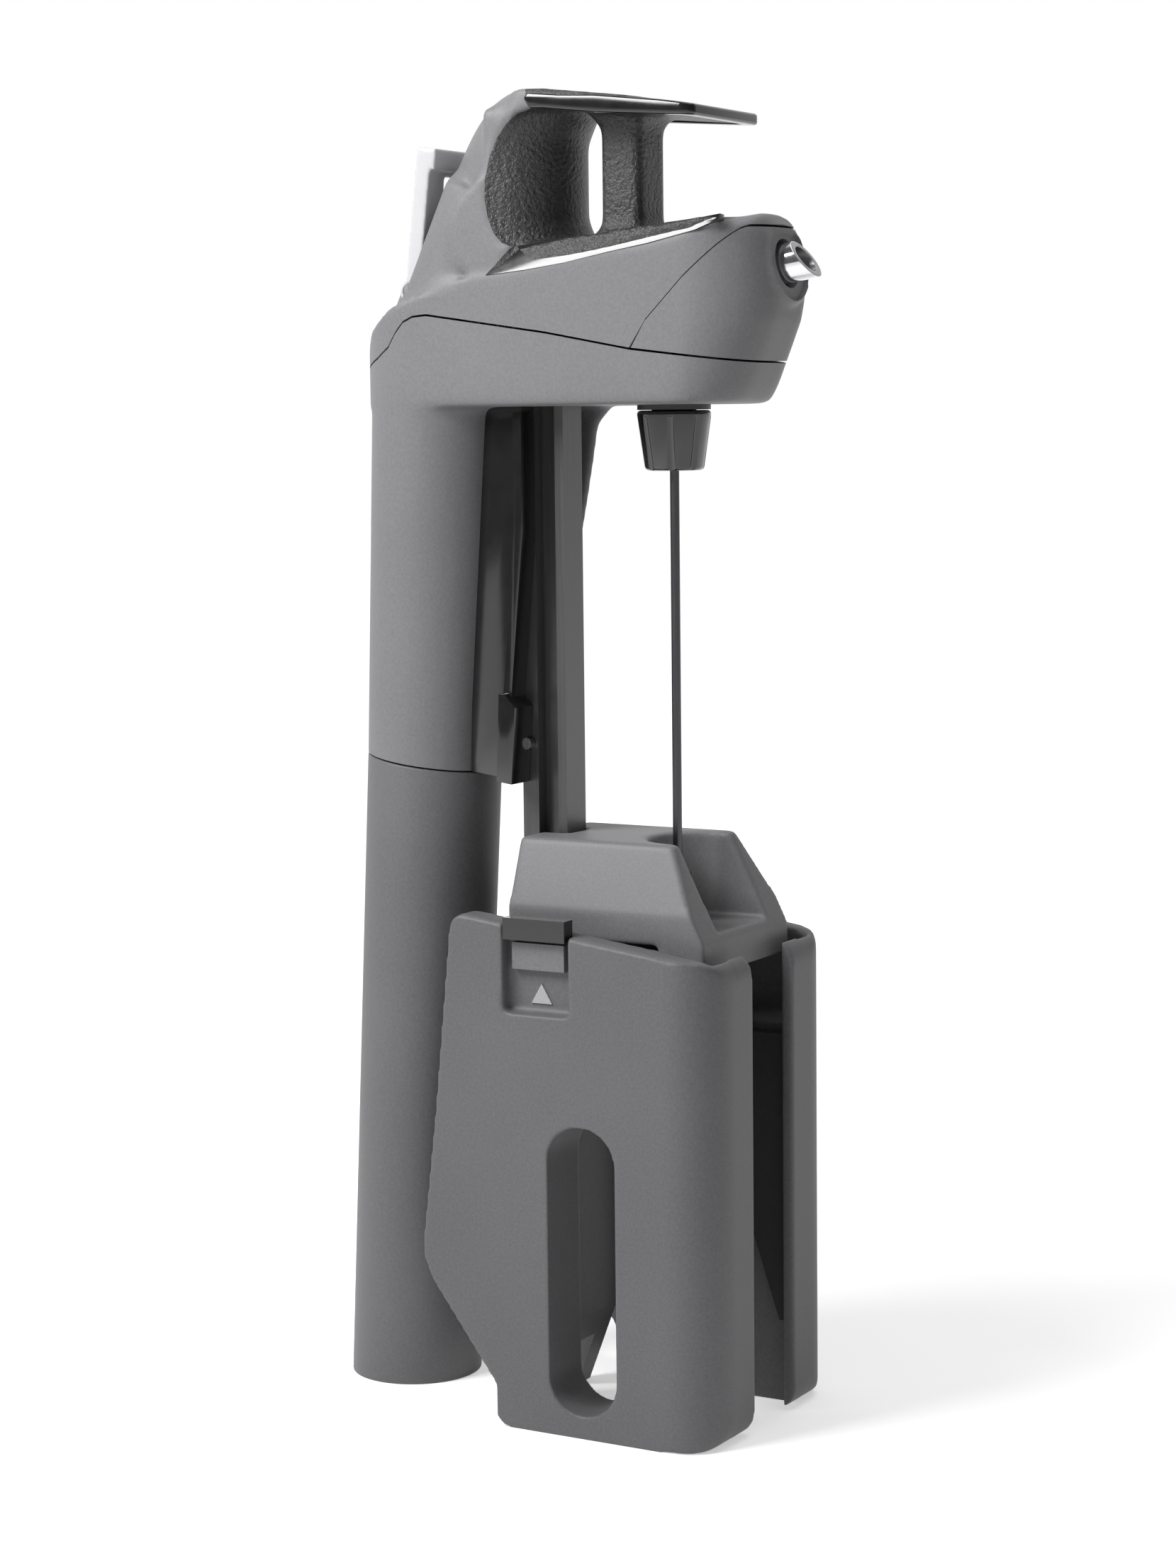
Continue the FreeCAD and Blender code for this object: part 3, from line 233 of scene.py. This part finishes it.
def outline(name, corners, low, high, along="X", rounds=()):
    """Draw a flat outline from a circle's vertices, round its corners and extrude it.

    Corners are (behind, height) along X and (x, behind) along Z, in mm. rounds lists (reach, corner, ...):
    how far along its edges each of those corners is cut to a curve.
    """
    def spot_of(corner):
        return (low, *corner) if along == "X" else (*corner, low)

    only()
    bpy.ops.mesh.primitive_circle_add(vertices=len(corners), fill_type="NGON", location=(0, 0, 0))
    piece = bpy.context.object
    for vertex, (first, second) in zip(piece.data.vertices, corners):
        if along == "X":
            vertex.co = (low * MM, behind(first), second * MM)
        else:
            vertex.co = (first * MM, behind(second), low * MM)
    for reach, *chosen in rounds:
        spots = [spot_of(corners[n]) for n in chosen]
        pick(piece, lambda x, y, z: any(math.dist((x, y, z), spot) < 0.01 for spot in spots))
        bpy.ops.mesh.bevel(offset=reach * MM, affect="VERTICES", segments=8 if reach < 5 else 24)
        done()
    pick(piece)
    step = (high - low) * MM
    way = (step, 0, 0) if along == "X" else (0, 0, step)
    bpy.ops.mesh.extrude_region_move(TRANSFORM_OT_translate={"value": way})
    bpy.ops.mesh.select_all(action="SELECT")
    bpy.ops.mesh.normals_make_consistent(inside=False)
    done()
    return settle(piece, name)


def stacked(piece, steps, reach, margin, middle):
    """Extrude a piece's top ring by ring. Each step is (height, reach): the ring's depth from middle changes with it.

    margin is what the depth has beyond its reach, so that a ring scales as (reach + margin).
    """
    for height, next_reach in steps:
        top = max(vertex.co.z for vertex in piece.data.vertices) / MM
        pick(piece, lambda x, y, z: z > top - 0.01)
        bpy.ops.mesh.extrude_region_move(TRANSFORM_OT_translate={"value": (0, 0, (height - top) * MM)})
        bpy.ops.transform.resize(value=(1, (next_reach + margin) / (reach + margin), 1),
                                 center_override=(0, behind(middle), 0))
        done()
        reach = next_reach
    face_outward(piece)


def swollen(piece, height, widen, deepen, middle):
    """Widen and deepen the end of an upright piece that lies at one height."""
    pick(piece, lambda x, y, z: abs(z - height) < 0.1)
    bpy.ops.transform.resize(value=(widen, deepen, 1), center_override=(0, behind(middle), 0))
    done()
    return piece


def boolean(piece, tool, operation="DIFFERENCE", keep_tool=False):
    """Cut, join or keep what is common of two solids, then throw the tool away."""
    modifier(piece, "BOOLEAN", operation=operation, object=tool, solver="EXACT")
    if not keep_tool:
        bpy.data.objects.remove(tool)
    return piece


def rod(name, start, end, radius, end_radius=None, sides=96):
    """A round bar or cone between two (x, behind, z) points in mm."""
    first = Vector((start[0] * MM, behind(start[1]), start[2] * MM))
    last = Vector((end[0] * MM, behind(end[1]), end[2] * MM))
    turn = (last - first).to_track_quat("Z", "Y").to_euler()
    only()
    bpy.ops.mesh.primitive_cone_add(vertices=sides, radius1=radius * MM, depth=(last - first).length,
                                    radius2=(radius if end_radius is None else end_radius) * MM,
                                    location=(first + last) / 2, rotation=turn)
    return settle(bpy.context.object, name)


def edged(piece, width, segments, sharp):
    """Bevel the edges of a piece that turn by more than sharp degrees."""
    modifier(piece, "BEVEL", width=width * MM, segments=segments, limit_method="ANGLE",
             angle_limit=math.radians(sharp))


def skinned(name, parts, facet, repeat):
    """Join solids and give the whole one even skin of facets, then relax it: edges and inner corners soften."""
    only(*parts)
    bpy.ops.object.join()
    piece = settle(bpy.context.object, name)
    modifier(piece, "REMESH", mode="VOXEL", voxel_size=facet * MM)
    relax(piece, repeat)
    return piece


def dressed(piece, finish, node_name, sharp=None):
    """Give a finished piece its material and body, and hide the CAD node it stands for.

    Edges that turn by more than sharp degrees stay crisp; without it the whole piece is shaded smooth.
    """
    only(piece)
    if sharp is None:
        bpy.ops.object.shade_smooth()
    else:
        bpy.ops.object.shade_smooth_by_angle(angle=math.radians(sharp))
    piece.data.materials.clear()
    piece.data.materials.append(finish)
    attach(piece, body_of_node[node_name])
    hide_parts(node_name)


def copied(piece, name):
    """A second object with its own mesh."""
    twin = bpy.data.objects.new(name, piece.data.copy())
    bpy.context.scene.collection.objects.link(twin)
    return twin


def mirror_copy(piece, name):
    """The same piece on the other side of the middle plane."""
    twin = copied(piece, name)
    twin.scale = (-1, 1, 1)
    settle(twin, name)
    face_outward(twin)
    return twin


def from_cad(node_name):
    """The CAD node's closed mesh, copied and merged."""
    piece = copied(nodes[node_name], node_name + "_copy")
    pick(piece)
    bpy.ops.mesh.remove_doubles(threshold=0.00001)
    done()
    return piece


# ---------------------------------------------------------------- head, neck, handle and tube

HEAD_HALF = 12.3
GRIP_RADIUS = 11.6
GRIP_BACK = 28.6
tube_lean = math.radians(3.1)
seam_slope = math.radians(7.9)


def tube_back(height):
    """How far behind the needle the tube's axis is at one height."""
    return 43.2 + (165 - height) * math.tan(tube_lean)


def tube_bar(name, low, high, radius, end_radius=None, sides=96):
    """A round bar on the tube's leaning axis, between two heights."""
    return rod(name, (0, tube_back(low), low), (0, tube_back(high), high), radius, end_radius, sides)


def past_seam(name, middle_height, limit):
    """All that lies past the slanted seam between tube and cup, up or down to limit."""
    middle = tube_back(106.3)
    front, rear = (middle_height + (back - middle) * math.tan(seam_slope) for back in (10, 70))
    return outline(name, [(10, front), (70, rear), (70, limit), (10, limit)], -20, 20)


# The handle's two long edges, as (behind, height): the floor's lower edge, and the C of the grip's opening.
side_edge = [(27.5, 185.9), (20.1, 186.5), (12.8, 187.4), (4.9, 188.8), (-2.2, 189.9), (-10.5, 191.6),
             (-14.5, 193.2)]
hole_edge = [(22.9, 190.3), (24.6, 190.9), (26.1, 192.5), (27.1, 194.8), (27.7, 197.8), (27.6, 201.2),
             (26.9, 204.4), (25.5, 207.4), (23.8, 209.6), (21.6, 211.1), (19.0, 211.8)]

head = outline("head", [(-14.9, 165.0), (55.6, 165.0), (55.4, 172.0), (51.8, 177.6), (46.0, 181.4), (35.5, 185.2),
                        *side_edge, (-17.4, 195.4), (-20.2, 193.0), (-21.6, 189.8), (-22.1, 182.7),
                        (-18.9, 171.5)], -HEAD_HALF, HEAD_HALF)
# The nose's top is vaulted: lower at its sides than in the middle.
arch = outline("arch", [(-30, 184), (-13.6, 190), (-12.4, 200), (-30, 200)], -14, 14)
boolean(arch, rod("vault", (0, -32, 170.9), (0, -8, 168.6), 25.0, sides=160))
boolean(head, arch)
# The bow in front is round in plan, and its front leans back below the spout and over it.
bow = outline("bow", [(-HEAD_HALF, -14.3), (HEAD_HALF, -14.3), (HEAD_HALF, 1.0), (-HEAD_HALF, 1.0)], 164.0, 165.0,
              "Z", rounds=[(9.0, 0, 1)])
stacked(bow, [(167.5, 15.9), (171.5, 17.6), (175, 19.1), (178, 20.3), (181, 20.9), (184, 21.1), (187, 21.1),
              (189.5, 20.5), (191.5, 19.7), (193.2, 18.7), (196.5, 16.4)], 14.3, 1, 1.0)
boolean(bow, head, "INTERSECT", keep_tool=True)
plan = outline("plan", [(-HEAD_HALF, -0.5), (HEAD_HALF, -0.5), (HEAD_HALF, 55.6), (-HEAD_HALF, 55.6)], 160, 200,
               "Z", rounds=[(12.1, 2, 3)])
boolean(head, plan, "INTERSECT")
# The handle's floor stands on the head, narrower at its top.
rise = outline("rise", [(28.0, 184.5), (-13.5, 191.5), (-14.6, 193.9), (24.0, 190.5), (28.0, 190.4)],
               -HEAD_HALF, HEAD_HALF)
pick(rise, lambda x, y, z: z > 190.2 and y > -14)
bpy.ops.transform.resize(value=(0.885, 1, 1), center_override=(0, 0, 0))
done()
tube = tube_bar("tube", 100, 168, 11.2, 12.25, 128)
neck = rod("neck", (0, 43.8, 169), (0, 29.6, 199), GRIP_RADIUS)
upright = rod("upright", (0, GRIP_BACK, 186), (0, GRIP_BACK, 212.5), GRIP_RADIUS)
boolean(upright, outline("upright_back", [(28.4, 199.5), (60, 199.5), (60, 220), (28.4, 220)], -14, 14))
# The handle's back closes in a dome: rings from the grip up to the flat top, each drawn in toward the front.
curve = [(-12.0 * math.cos(math.radians(angle)), 20 + 20.9 * math.sin(math.radians(angle)))
         for angle in range(4, 180, 4)]
crown = outline("crown", [(-12.0, 20), *curve, (12.0, 20)], 196.0, 197.4, "Z")
stacked(crown, [(200, 19.9), (202.7, 18.9), (205, 17.8), (207.1, 16.5), (208.8, 15.3), (210.5, 13.9), (212, 12.3),
                (213.3, 10.4), (214.2, 8.6), (214.8, 6.8), (215.0, 5.0)], 20.9, 0, 20)
boolean(crown, outline("crown_hole", [*hole_edge, (10, 212.5), (10, 189)], -14, 14))
band = outline("band", [(26.6, 185.4), (30.9, 186.2), (33.7, 188.2), (35.1, 191.2), (35.2, 194.0), (34.0, 197.0),
                        (29.6, 201.0), (26.6, 206.0), (24.4, 210.4), (19.6, 214.0), *reversed(hole_edge)],
               -12.0, 12.0)
pad = outline("pad", [(-9.5, 209.3), (-9.5, 210.9), (2.6, 213.0), (17.0, 214.8), (20.4, 214.95), (20.4, 211.5),
                      (16.6, 211.8)], -12.0, 12.0)
pad_plan = outline("pad_plan", [(-12.0, -9.5), (12.0, -9.5), (12.0, 30), (-12.0, 30)], 200, 220, "Z",
                   rounds=[(1.6, 0, 1)])
boolean(pad, pad_plan, "INTERSECT")
post_plan = [(-4.6, 3.4), (4.6, 3.4), (4.6, 10.8), (-4.6, 10.8)]
post = outline("post", post_plan, 189, 212, "Z", rounds=[(1.2, 0, 1, 2, 3)])
# The post and the grip's front swell out to the floor and the roof.
flares = []
for low, high, end in ((190.6, 193.6, 190.6), (208.6, 211.4, 211.4)):
    flare = outline("flare", post_plan, low, high, "Z", rounds=[(1.2, 0, 1, 2, 3)])
    flares.append(swollen(flare, end, 1.45, 1.5, 7.1))
for low, high, end in ((190.0, 195.0, 190.0), (207.0, 211.9, 211.9)):
    flare = swollen(rod("flare", (0, GRIP_BACK, low), (0, GRIP_BACK, high), GRIP_RADIUS), end, 1.03, 1.22, GRIP_BACK)
    boolean(flare, outline("flare_back", [(28.4, 185), (60, 185), (60, 220), (28.4, 220)], -16, 16))
    flares.append(flare)

spout_rise = math.radians(10)
aim = (0, -math.cos(spout_rise), math.sin(spout_rise))
spout_end = (0, -24.2, 187.3)


def on_spout(distance):
    """The point of the spout's axis this far in mm behind its end."""
    return tuple(spout_end[n] - aim[n] * distance for n in range(3))


snout = rod("snout", on_spout(11.5), on_spout(3.2), 8.8, 6.2)
gusset = outline("gusset", [(17.2, 165.5), (20.5, 162), (21.3, 157), (22.4, 151), (24.0, 143), (40.0, 143),
                            (40.0, 165.5)], 10.7, HEAD_HALF)
whole = skinned("whole", [head, bow, rise, tube, neck, upright, crown, band, pad, post, snout, gusset, *flares],
                0.45, 5)
# Some edges leave the mould rounder than the rest.
under_head = lambda x, y, z: z < 168.5 and y < 36 or z < 172 and y < 50 and abs(x) > 9
nose_dome = lambda x, y, z: z > 191 and y < -11.5
nose_sides = lambda x, y, z: -16.5 < y < -9 and z < 191 or y <= -16.5 and z < 177
neck_foot = lambda x, y, z: 183 < z < 203 and y > 33
handle_inside = lambda x, y, z: z > 189 and 1 < y < 27 and abs(x) < 11.2
handle_back = lambda x, y, z: z > 201 and y > 23
relax(whole, 14, under_head)
boolean(whole, rod("snout_face", on_spout(4.0), on_spout(-3), 5.9, 7.2))
for repeat, region in ((20, nose_dome), (12, nose_sides), (16, neck_foot), (12, handle_inside), (26, handle_back)):
    relax(whole, repeat, region)

# Cut the whole into its mouldings along their seams, with a fine gap along each.
lining_way = outline("lining_way", [(-14.7, 193.35), *reversed(side_edge[:-1]), *hole_edge, (19.6, 213.4),
                                    (20.4, 217.0), (-20.0, 217.0), (-20.0, 203.0), (-14.7, 203.0)], -14, 14)
parting = [(60.0, 169.2), (56.0, 170.6), (49.4, 173.2), (46.6, 174.9), (44.9, 177.3), (43.4, 178.9), (41.6, 179.7),
           (39.0, 179.9), (16.7, 176.6), (1.3, 173.7), (-14.3, 171.8), (-18.6, 171.3), (-30.0, 170.6)]
half_seam = 0.17
lower_way = outline("lower_way", [*[(y, z - half_seam) for y, z in parting], (-30, 90), (60, 90)], -14, 14)
upper_way = outline("upper_way", [*[(y, z + half_seam) for y, z in parting[:10]], (-1.7, 178.3), (-8.2, 184.7),
                                  (-13.8, 189.5), (-16.8, 192.0), (-17.6, 192.4), (-30.0, 193.0), (-30, 220),
                                  (60, 220)], -14, 14)
nose_way = outline("nose_way", [(0.95, 173.85), (-14.3, 171.97), (-18.6, 171.47), (-30, 170.77), (-30, 192.6),
                                (-17.4, 192.0), (-16.6, 191.6), (-13.6, 189.1), (-8.0, 184.3), (-1.5, 177.9)],
                   -14, 14)
lining = boolean(copied(whole, "handle_lining"), lining_way, "INTERSECT", keep_tool=True)
nose = boolean(copied(whole, "nose_shell"), nose_way, "INTERSECT")
lower = boolean(copied(whole, "lower_shell"), lower_way, "INTERSECT")
upper = boolean(boolean(whole, upper_way, "INTERSECT"), lining_way)
upper.name = "upper_shell"

# Rooms inside the mouldings for what sits or moves in them.
room_half = 10.3
boolean(lower, tube_bar("bore", 90, 181, 9.8))
boolean(lower, tube_bar("thread_room", 90, 118.2, 10.35))
boolean(lower, rod("hub_hole", (0, 0, 160), (0, 0, 180), 4.3))
boolean(lower, outline("head_room", [(-11.5, 167.0), (40, 167.0), (40, 190), (-11.5, 190)], -room_half, room_half))
boolean(lower, past_seam("below_seam", 106.45, 40))
boolean(upper, outline("upper_room", [(-9.0, 169), (40, 169), (40, 177.0), (30, 180.6), (-3.0, 186.4),
                                      (-11.0, 180)], -room_half, room_half))
# The trigger's slot leans forward with it.
trigger_y, trigger_z, trigger_lean = 42.6, 184.0, math.radians(7)


def on_trigger(back, up):
    """A (behind, height) point from the trigger's pivot along its own lean."""
    return (trigger_y + back * math.cos(trigger_lean) - up * math.sin(trigger_lean),
            trigger_z + back * math.sin(trigger_lean) + up * math.cos(trigger_lean))


boolean(upper, outline("trigger_slot", [on_trigger(-3.6, -2.6), on_trigger(2.4, -2.6), on_trigger(1.9, 26),
                                        on_trigger(-3.6, 26)], -8.9, 8.9))
for piece in (upper, nose):
    boolean(piece, rod("spout_hole", on_spout(26), on_spout(1), 3.9))
dressed(lower, soft_abs, "lower_housing", 32)
dressed(upper, soft_abs, "upper_housing", 32)
dressed(nose, soft_abs, "nose_cover", 32)
dressed(lining, pebbled_tpe, "handle_liner", 40)

# The lining's outer rims are polished: a bevelled strip along each edge of the floor and a lip round the roof.
upper_edge = [(22.9, 190.3), (14.8, 191.0), (8.2, 191.6), (1.7, 192.2), (-4.8, 192.8), (-11.1, 193.5),
              (-14.3, 193.9)]
strip = outline("floor_rim_far", [*side_edge[:-1], (-14.3, 192.9), *reversed(upper_edge)], 9.6, 12.33)
pick(strip, lambda x, y, z: x > 11 and min(math.dist((y, z), spot) for spot in upper_edge) < 0.05)
bpy.ops.transform.translate(value=(-1.35 * MM, 0, 0.12 * MM))
done()
strip_plan = outline("strip_plan", [(-12.36, -22.2), (12.36, -22.2), (12.36, 55.6), (-12.36, 55.6)], 160, 200, "Z",
                     rounds=[(10.6, 0, 1)])
boolean(strip, strip_plan, "INTERSECT")
edged(strip, 0.05, 2, 30)
for piece in (strip, mirror_copy(strip, "floor_rim_near.001")):
    dressed(piece, polished_abs, "handle_liner", 40)
roof_rim = outline("roof_rim", [(-9.8, 209.15), (-9.8, 210.95), (-4.2, 211.85), (7.3, 213.25), (13.9, 213.65),
                                (19.6, 214.3), (20.3, 213.3), (19.2, 211.75), (16.6, 211.65), (7.4, 210.5),
                                (-5.5, 209.45)], -12.12, 12.12)
rim_plan = outline("rim_plan", [(-12.12, -9.8), (12.12, -9.8), (12.12, 30), (-12.12, 30)], 200, 220, "Z",
                   rounds=[(2.0, 0, 1)])
boolean(roof_rim, rim_plan, "INTERSECT")
rim_room = outline("rim_room", [(-10.0, -7.6), (10.0, -7.6), (10.0, 40), (-10.0, 40)], 200, 220, "Z",
                   rounds=[(1.5, 0, 1)])
boolean(roof_rim, rim_room)
edged(roof_rim, 0.5, 4, 30)
dressed(roof_rim, polished_abs, "handle_liner", 40)

# ---------------------------------------------------------------- spout

spout = rod("spout_pipe", on_spout(26.8), on_spout(-4), 3.15, sides=96)
# The end is cut on a slant, so that its lower lip is the longer.
slant = math.radians(38)
along_cut = (10 * math.sin(slant), 10 * math.cos(slant))
middle = (-23.55, 187.2)
boolean(spout, outline("slant_way", [(middle[0] - along_cut[0], middle[1] - along_cut[1]),
                                     (middle[0] + along_cut[0], middle[1] + along_cut[1]), (-40, 200),
                                     (-40, 170)], -6, 6))
boolean(spout, rod("spout_bore", on_spout(26), on_spout(-6), 2.15, sides=64))
edged(spout, 0.12, 2, 40)
dressed(spout, bright_nickel, "spout_tube", 40)
# The bore and the cut face keep the duller plate.
spout.data.materials.append(satin_nickel)
axis_end = Vector((0, behind(spout_end[1]), spout_end[2] * MM))
aim_line = Vector(aim)
for face in spout.data.polygons:
    off = face.center - axis_end
    off -= aim_line * off.dot(aim_line)
    in_bore = off.length < 2.4 * MM
    on_cut = abs(face.normal.z - math.sin(slant)) < 0.12 and face.normal.y < -0.5 and off.length < 3.0 * MM
    if in_bore or on_cut:
        face.material_index = 1

# ---------------------------------------------------------------- rail carrier

carrier = outline("rail_carrier", [(24.0, 165.6), (24.0, 145), (26.4, 119), (27.0, 104), (28.6, 104), (28.0, 119),
                                   (25.6, 145), (25.6, 165.6)], -7.7, 7.7)
boolean(carrier, outline("carrier_neck", [(24.8, 165.2), (24.8, 145), (27.2, 119), (27.8, 104), (36.0, 104),
                                          (34.5, 165.2)], -5.2, 5.2), "UNION")
boolean(carrier, outline("carrier_lugs", [(25.0, 116.2), (26.1, 100), (28.9, 100), (28.1, 118.4), (27.0, 118.4)],
                         -9.1, 9.1), "UNION")
boolean(carrier, outline("carrier_way", [(10, 90), (27.3, 90), (27.3, 170), (10, 170)], -3.45, 3.45))
boolean(carrier, past_seam("carrier_end", 106.45, 40))
edged(carrier, 0.28, 3, 35)
dressed(carrier, polished_abs, "lower_housing", 40)

# ---------------------------------------------------------------- cup

cup = tube_bar("cup_shell", -1.2, 112, 11.1, 11.32, 128)
boolean(cup, past_seam("over_seam", 106.15, 140))
boolean(cup, outline("under_floor", [(20, 0), (80, 0), (80, -20), (20, -20)], -20, 20))
boolean(cup, tube_bar("cup_room", 3.8, 120, 9.2))
boolean(cup, tube_bar("cup_thread", 92.5, 120, 10.3))
edged(cup, 0.3, 3, 50)
# The cup takes the lacquer painted one tone deeper as shade.
dressed(cup, shaded_abs, "capsule_cup", 32)

# ---------------------------------------------------------------- clamp, jaws, trigger and nut

clamp = skinned("clamp_body", [from_cad("clamp_block")], 0.4, 4)
relax(clamp, 6, lambda x, y, z: z > 86)
dressed(clamp, soft_abs, "clamp_block")

# The jaws' top edge is bevelled inward.
wedge_far = outline("wedge_far", [(-18, 76.6), (31, 82.8), (31, 90), (-18, 90)], 20.9, 24)
pick(wedge_far, lambda x, y, z: x < 21 and z < 83.5)
bpy.ops.transform.translate(value=(0, 0, 1.7 * MM))
done()
wedge_near = mirror_copy(wedge_far, "wedge_near")
# The jaws take the lacquer painted one tone deeper as shade.
for side_name, wedge in (("near", wedge_near), ("far", wedge_far)):
    jaw = skinned("jaw_plate_" + side_name, [boolean(from_cad("panel_" + side_name), wedge)], 0.4, 3)
    # The front corner and the latch recess's foot are rounder than the rest.
    relax(jaw, 12, lambda x, y, z: y < -8 and abs(x) > 12)
    relax(jaw, 8, lambda x, y, z: 7.4 < y < 21 and 66.5 < z < 72 and abs(x) > 18.5)
    dressed(jaw, shaded_abs, "panel_" + side_name, 60)

trigger = skinned("trigger_blade", [from_cad("trigger_lever")], 0.3, 3)
dressed(trigger, silver_paint, "trigger_lever")

nut = rod("needle_grip_nut", (0, 0, 154.5), (0, 0, 164.1), 4.72, 6.05, 128)
edged(nut, 0.7, 4, 50)
flute = rod("flute", (5.0, 0, 153.5), (6.35, 0, 163.2), 0.85, 0.62, 24)
edged(flute, 0.4, 4, 50)
for number in range(8):
    turn = math.radians(45 * (number + 0.5))
    tool = copied(flute, "flute_tool")
    pick(tool)
    bpy.ops.transform.rotate(value=turn, orient_axis="Z", center_override=(0, needle_y, 0))
    done()
    boolean(nut, tool)
bpy.data.objects.remove(flute)
boolean(nut, rod("nut_room", (0, 0, 157.4), (0, 0, 170), 3.66))
boolean(nut, rod("ferrule_room", (0, 0, 155.9), (0, 0, 160), 2.46))
boolean(nut, rod("nut_hole", (0, 0, 150), (0, 0, 160), 0.82))
edged(nut, 0.14, 2, 40)
dressed(nut, polished_abs, "needle_nut", 40)


# ---------------------------------------------------------------- studio

# The floor: a pale matt sheet that keeps the tool's shadow, with a painted glow lifting it to white away from it.
NEAR_LIFT, FAR_LIFT = 0.46, 0.85
bpy.ops.object.select_all(action="DESELECT")
bpy.ops.mesh.primitive_plane_add(size=8.0, location=(0, 0, 0))
floor = bpy.context.object
floor.name = "studio_floor"
paper, tree, shader, place = finish_named("paper_white_matt_painted_glow")
tree.nodes.remove(shader)
sheet = add(tree, "ShaderNodeBsdfDiffuse", {"Color": linear("#f4f4f4")})
glow = add(tree, "ShaderNodeEmission", {"Color": (1, 1, 1, 1)})
rays = add(tree, "ShaderNodeLightPath")
seen = add(tree, "ShaderNodeMath", {"operation": "MAXIMUM"}, {0: (rays, "Is Camera Ray"), 1: (rays, "Is Glossy Ray")})
seen_all = add(tree, "ShaderNodeMath", {"operation": "MAXIMUM"}, {0: (seen, 0), 1: (rays, "Is Transmission Ray")})
# Painted light: the flat sheet glows for camera, glossy and transmission rays, less near the tool, to white far off.
reach = add(tree, "ShaderNodeVectorMath", {"operation": "LENGTH"}, {0: (place, "Object")})
far = add(tree, "ShaderNodeMapRange", {"From Min": 0.10, "From Max": 0.55, "To Min": NEAR_LIFT,
                                       "To Max": FAR_LIFT}, {"Value": (reach, "Value")})
lift = add(tree, "ShaderNodeMath", {"operation": "MULTIPLY"}, {0: (seen_all, 0), 1: (far, "Result")})
tree.links.new(lift.outputs[0], glow.inputs["Strength"])
both = add(tree, "ShaderNodeAddShader", {}, {0: (sheet, 0), 1: (glow, 0)})
tree.links.new(both.outputs[0], tree.nodes["Material Output"].inputs["Surface"])
floor.data.materials.append(paper)

world = bpy.data.worlds.new("studio")
bpy.context.scene.world = world
world.use_nodes = True
tree = world.node_tree
tree.nodes.clear()
rays = add(tree, "ShaderNodeLightPath")
seen = add(tree, "ShaderNodeMath", {"operation": "MAXIMUM"},
           {0: (rays, "Is Camera Ray"), 1: (rays, "Is Transmission Ray")})
around = add(tree, "ShaderNodeTexCoord")
# Gloss meets the bright backdrop behind the tool and a darker room in front of it.
backdrop_way = (0.866, 0.5, 0.0)
facing = add(tree, "ShaderNodeVectorMath", {"operation": "DOT_PRODUCT", 1: backdrop_way}, {0: (around, "Generated")})
backdrop = add(tree, "ShaderNodeMapRange", {"From Min": 0.1, "From Max": 0.8, "To Min": 0.12, "To Max": 1.0},
               {"Value": (facing, "Value")})
soft = add(tree, "ShaderNodeBackground", {"Color": (1, 1, 1, 1), "Strength": 0.27})
gloss = add(tree, "ShaderNodeBackground", {"Color": (1, 1, 1, 1)}, {"Strength": (backdrop, "Result")})
white = add(tree, "ShaderNodeBackground", {"Color": (1, 1, 1, 1), "Strength": 1.0})
first = add(tree, "ShaderNodeMixShader", {}, {0: (rays, "Is Glossy Ray"), 1: (soft, 0), 2: (gloss, 0)})
second = add(tree, "ShaderNodeMixShader", {}, {0: (seen, 0), 1: (first, 0), 2: (white, 0)})
add(tree, "ShaderNodeOutputWorld", {}, {"Surface": (second, 0)})


def softbox(name, place, target, width, height, watts):
    """A rectangular soft lamp that faces target and isn't seen itself."""
    lamp = bpy.data.lights.new(name, "AREA")
    lamp.shape = "RECTANGLE"
    lamp.size, lamp.size_y, lamp.energy = width, height, watts
    holder = bpy.data.objects.new(name, lamp)
    bpy.context.scene.collection.objects.link(holder)
    holder.location = place
    holder.rotation_euler = (Vector(target) - Vector(place)).to_track_quat("-Z", "Y").to_euler()
    holder.visible_camera = False


# Place and target, then width, height (m) and power (W).
softbox("key_softbox", (-0.27, 0.18, 0.40), (0, 0, 0.17), 0.20, 0.22, 2.2)
softbox("top_softbox", (0.10, -0.10, 0.75), (0, 0, 0.1), 0.5, 0.5, 1.3)

# ---------------------------------------------------------------- camera

turn, pitch, roll = math.radians(-60), math.radians(6.35), math.radians(0.65)
eye = (-0.45668, behind(-247.0), 0.1619)
ahead = Vector((-math.sin(turn), math.cos(turn), 0))
across = Vector((math.cos(turn), math.sin(turn), 0))
forward = ahead * math.cos(pitch) - Vector((0, 0, 1)) * math.sin(pitch)
right = across * math.cos(roll) - across.cross(forward) * math.sin(roll)
upward = right.cross(forward)
lens = bpy.data.cameras.new("view")
camera = bpy.data.objects.new("view", lens)
bpy.context.scene.collection.objects.link(camera)
camera.matrix_world = Matrix((
    (right.x, upward.x, -forward.x, eye[0]),
    (right.y, upward.y, -forward.y, eye[1]),
    (right.z, upward.z, -forward.z, eye[2]),
    (0, 0, 0, 1)))
lens.sensor_fit = "VERTICAL"
lens.sensor_height = 36.0
lens.lens = 74.05
lens.clip_start = 0.01
bpy.context.scene.camera = camera
bpy.context.scene.view_settings.view_transform = "Standard"
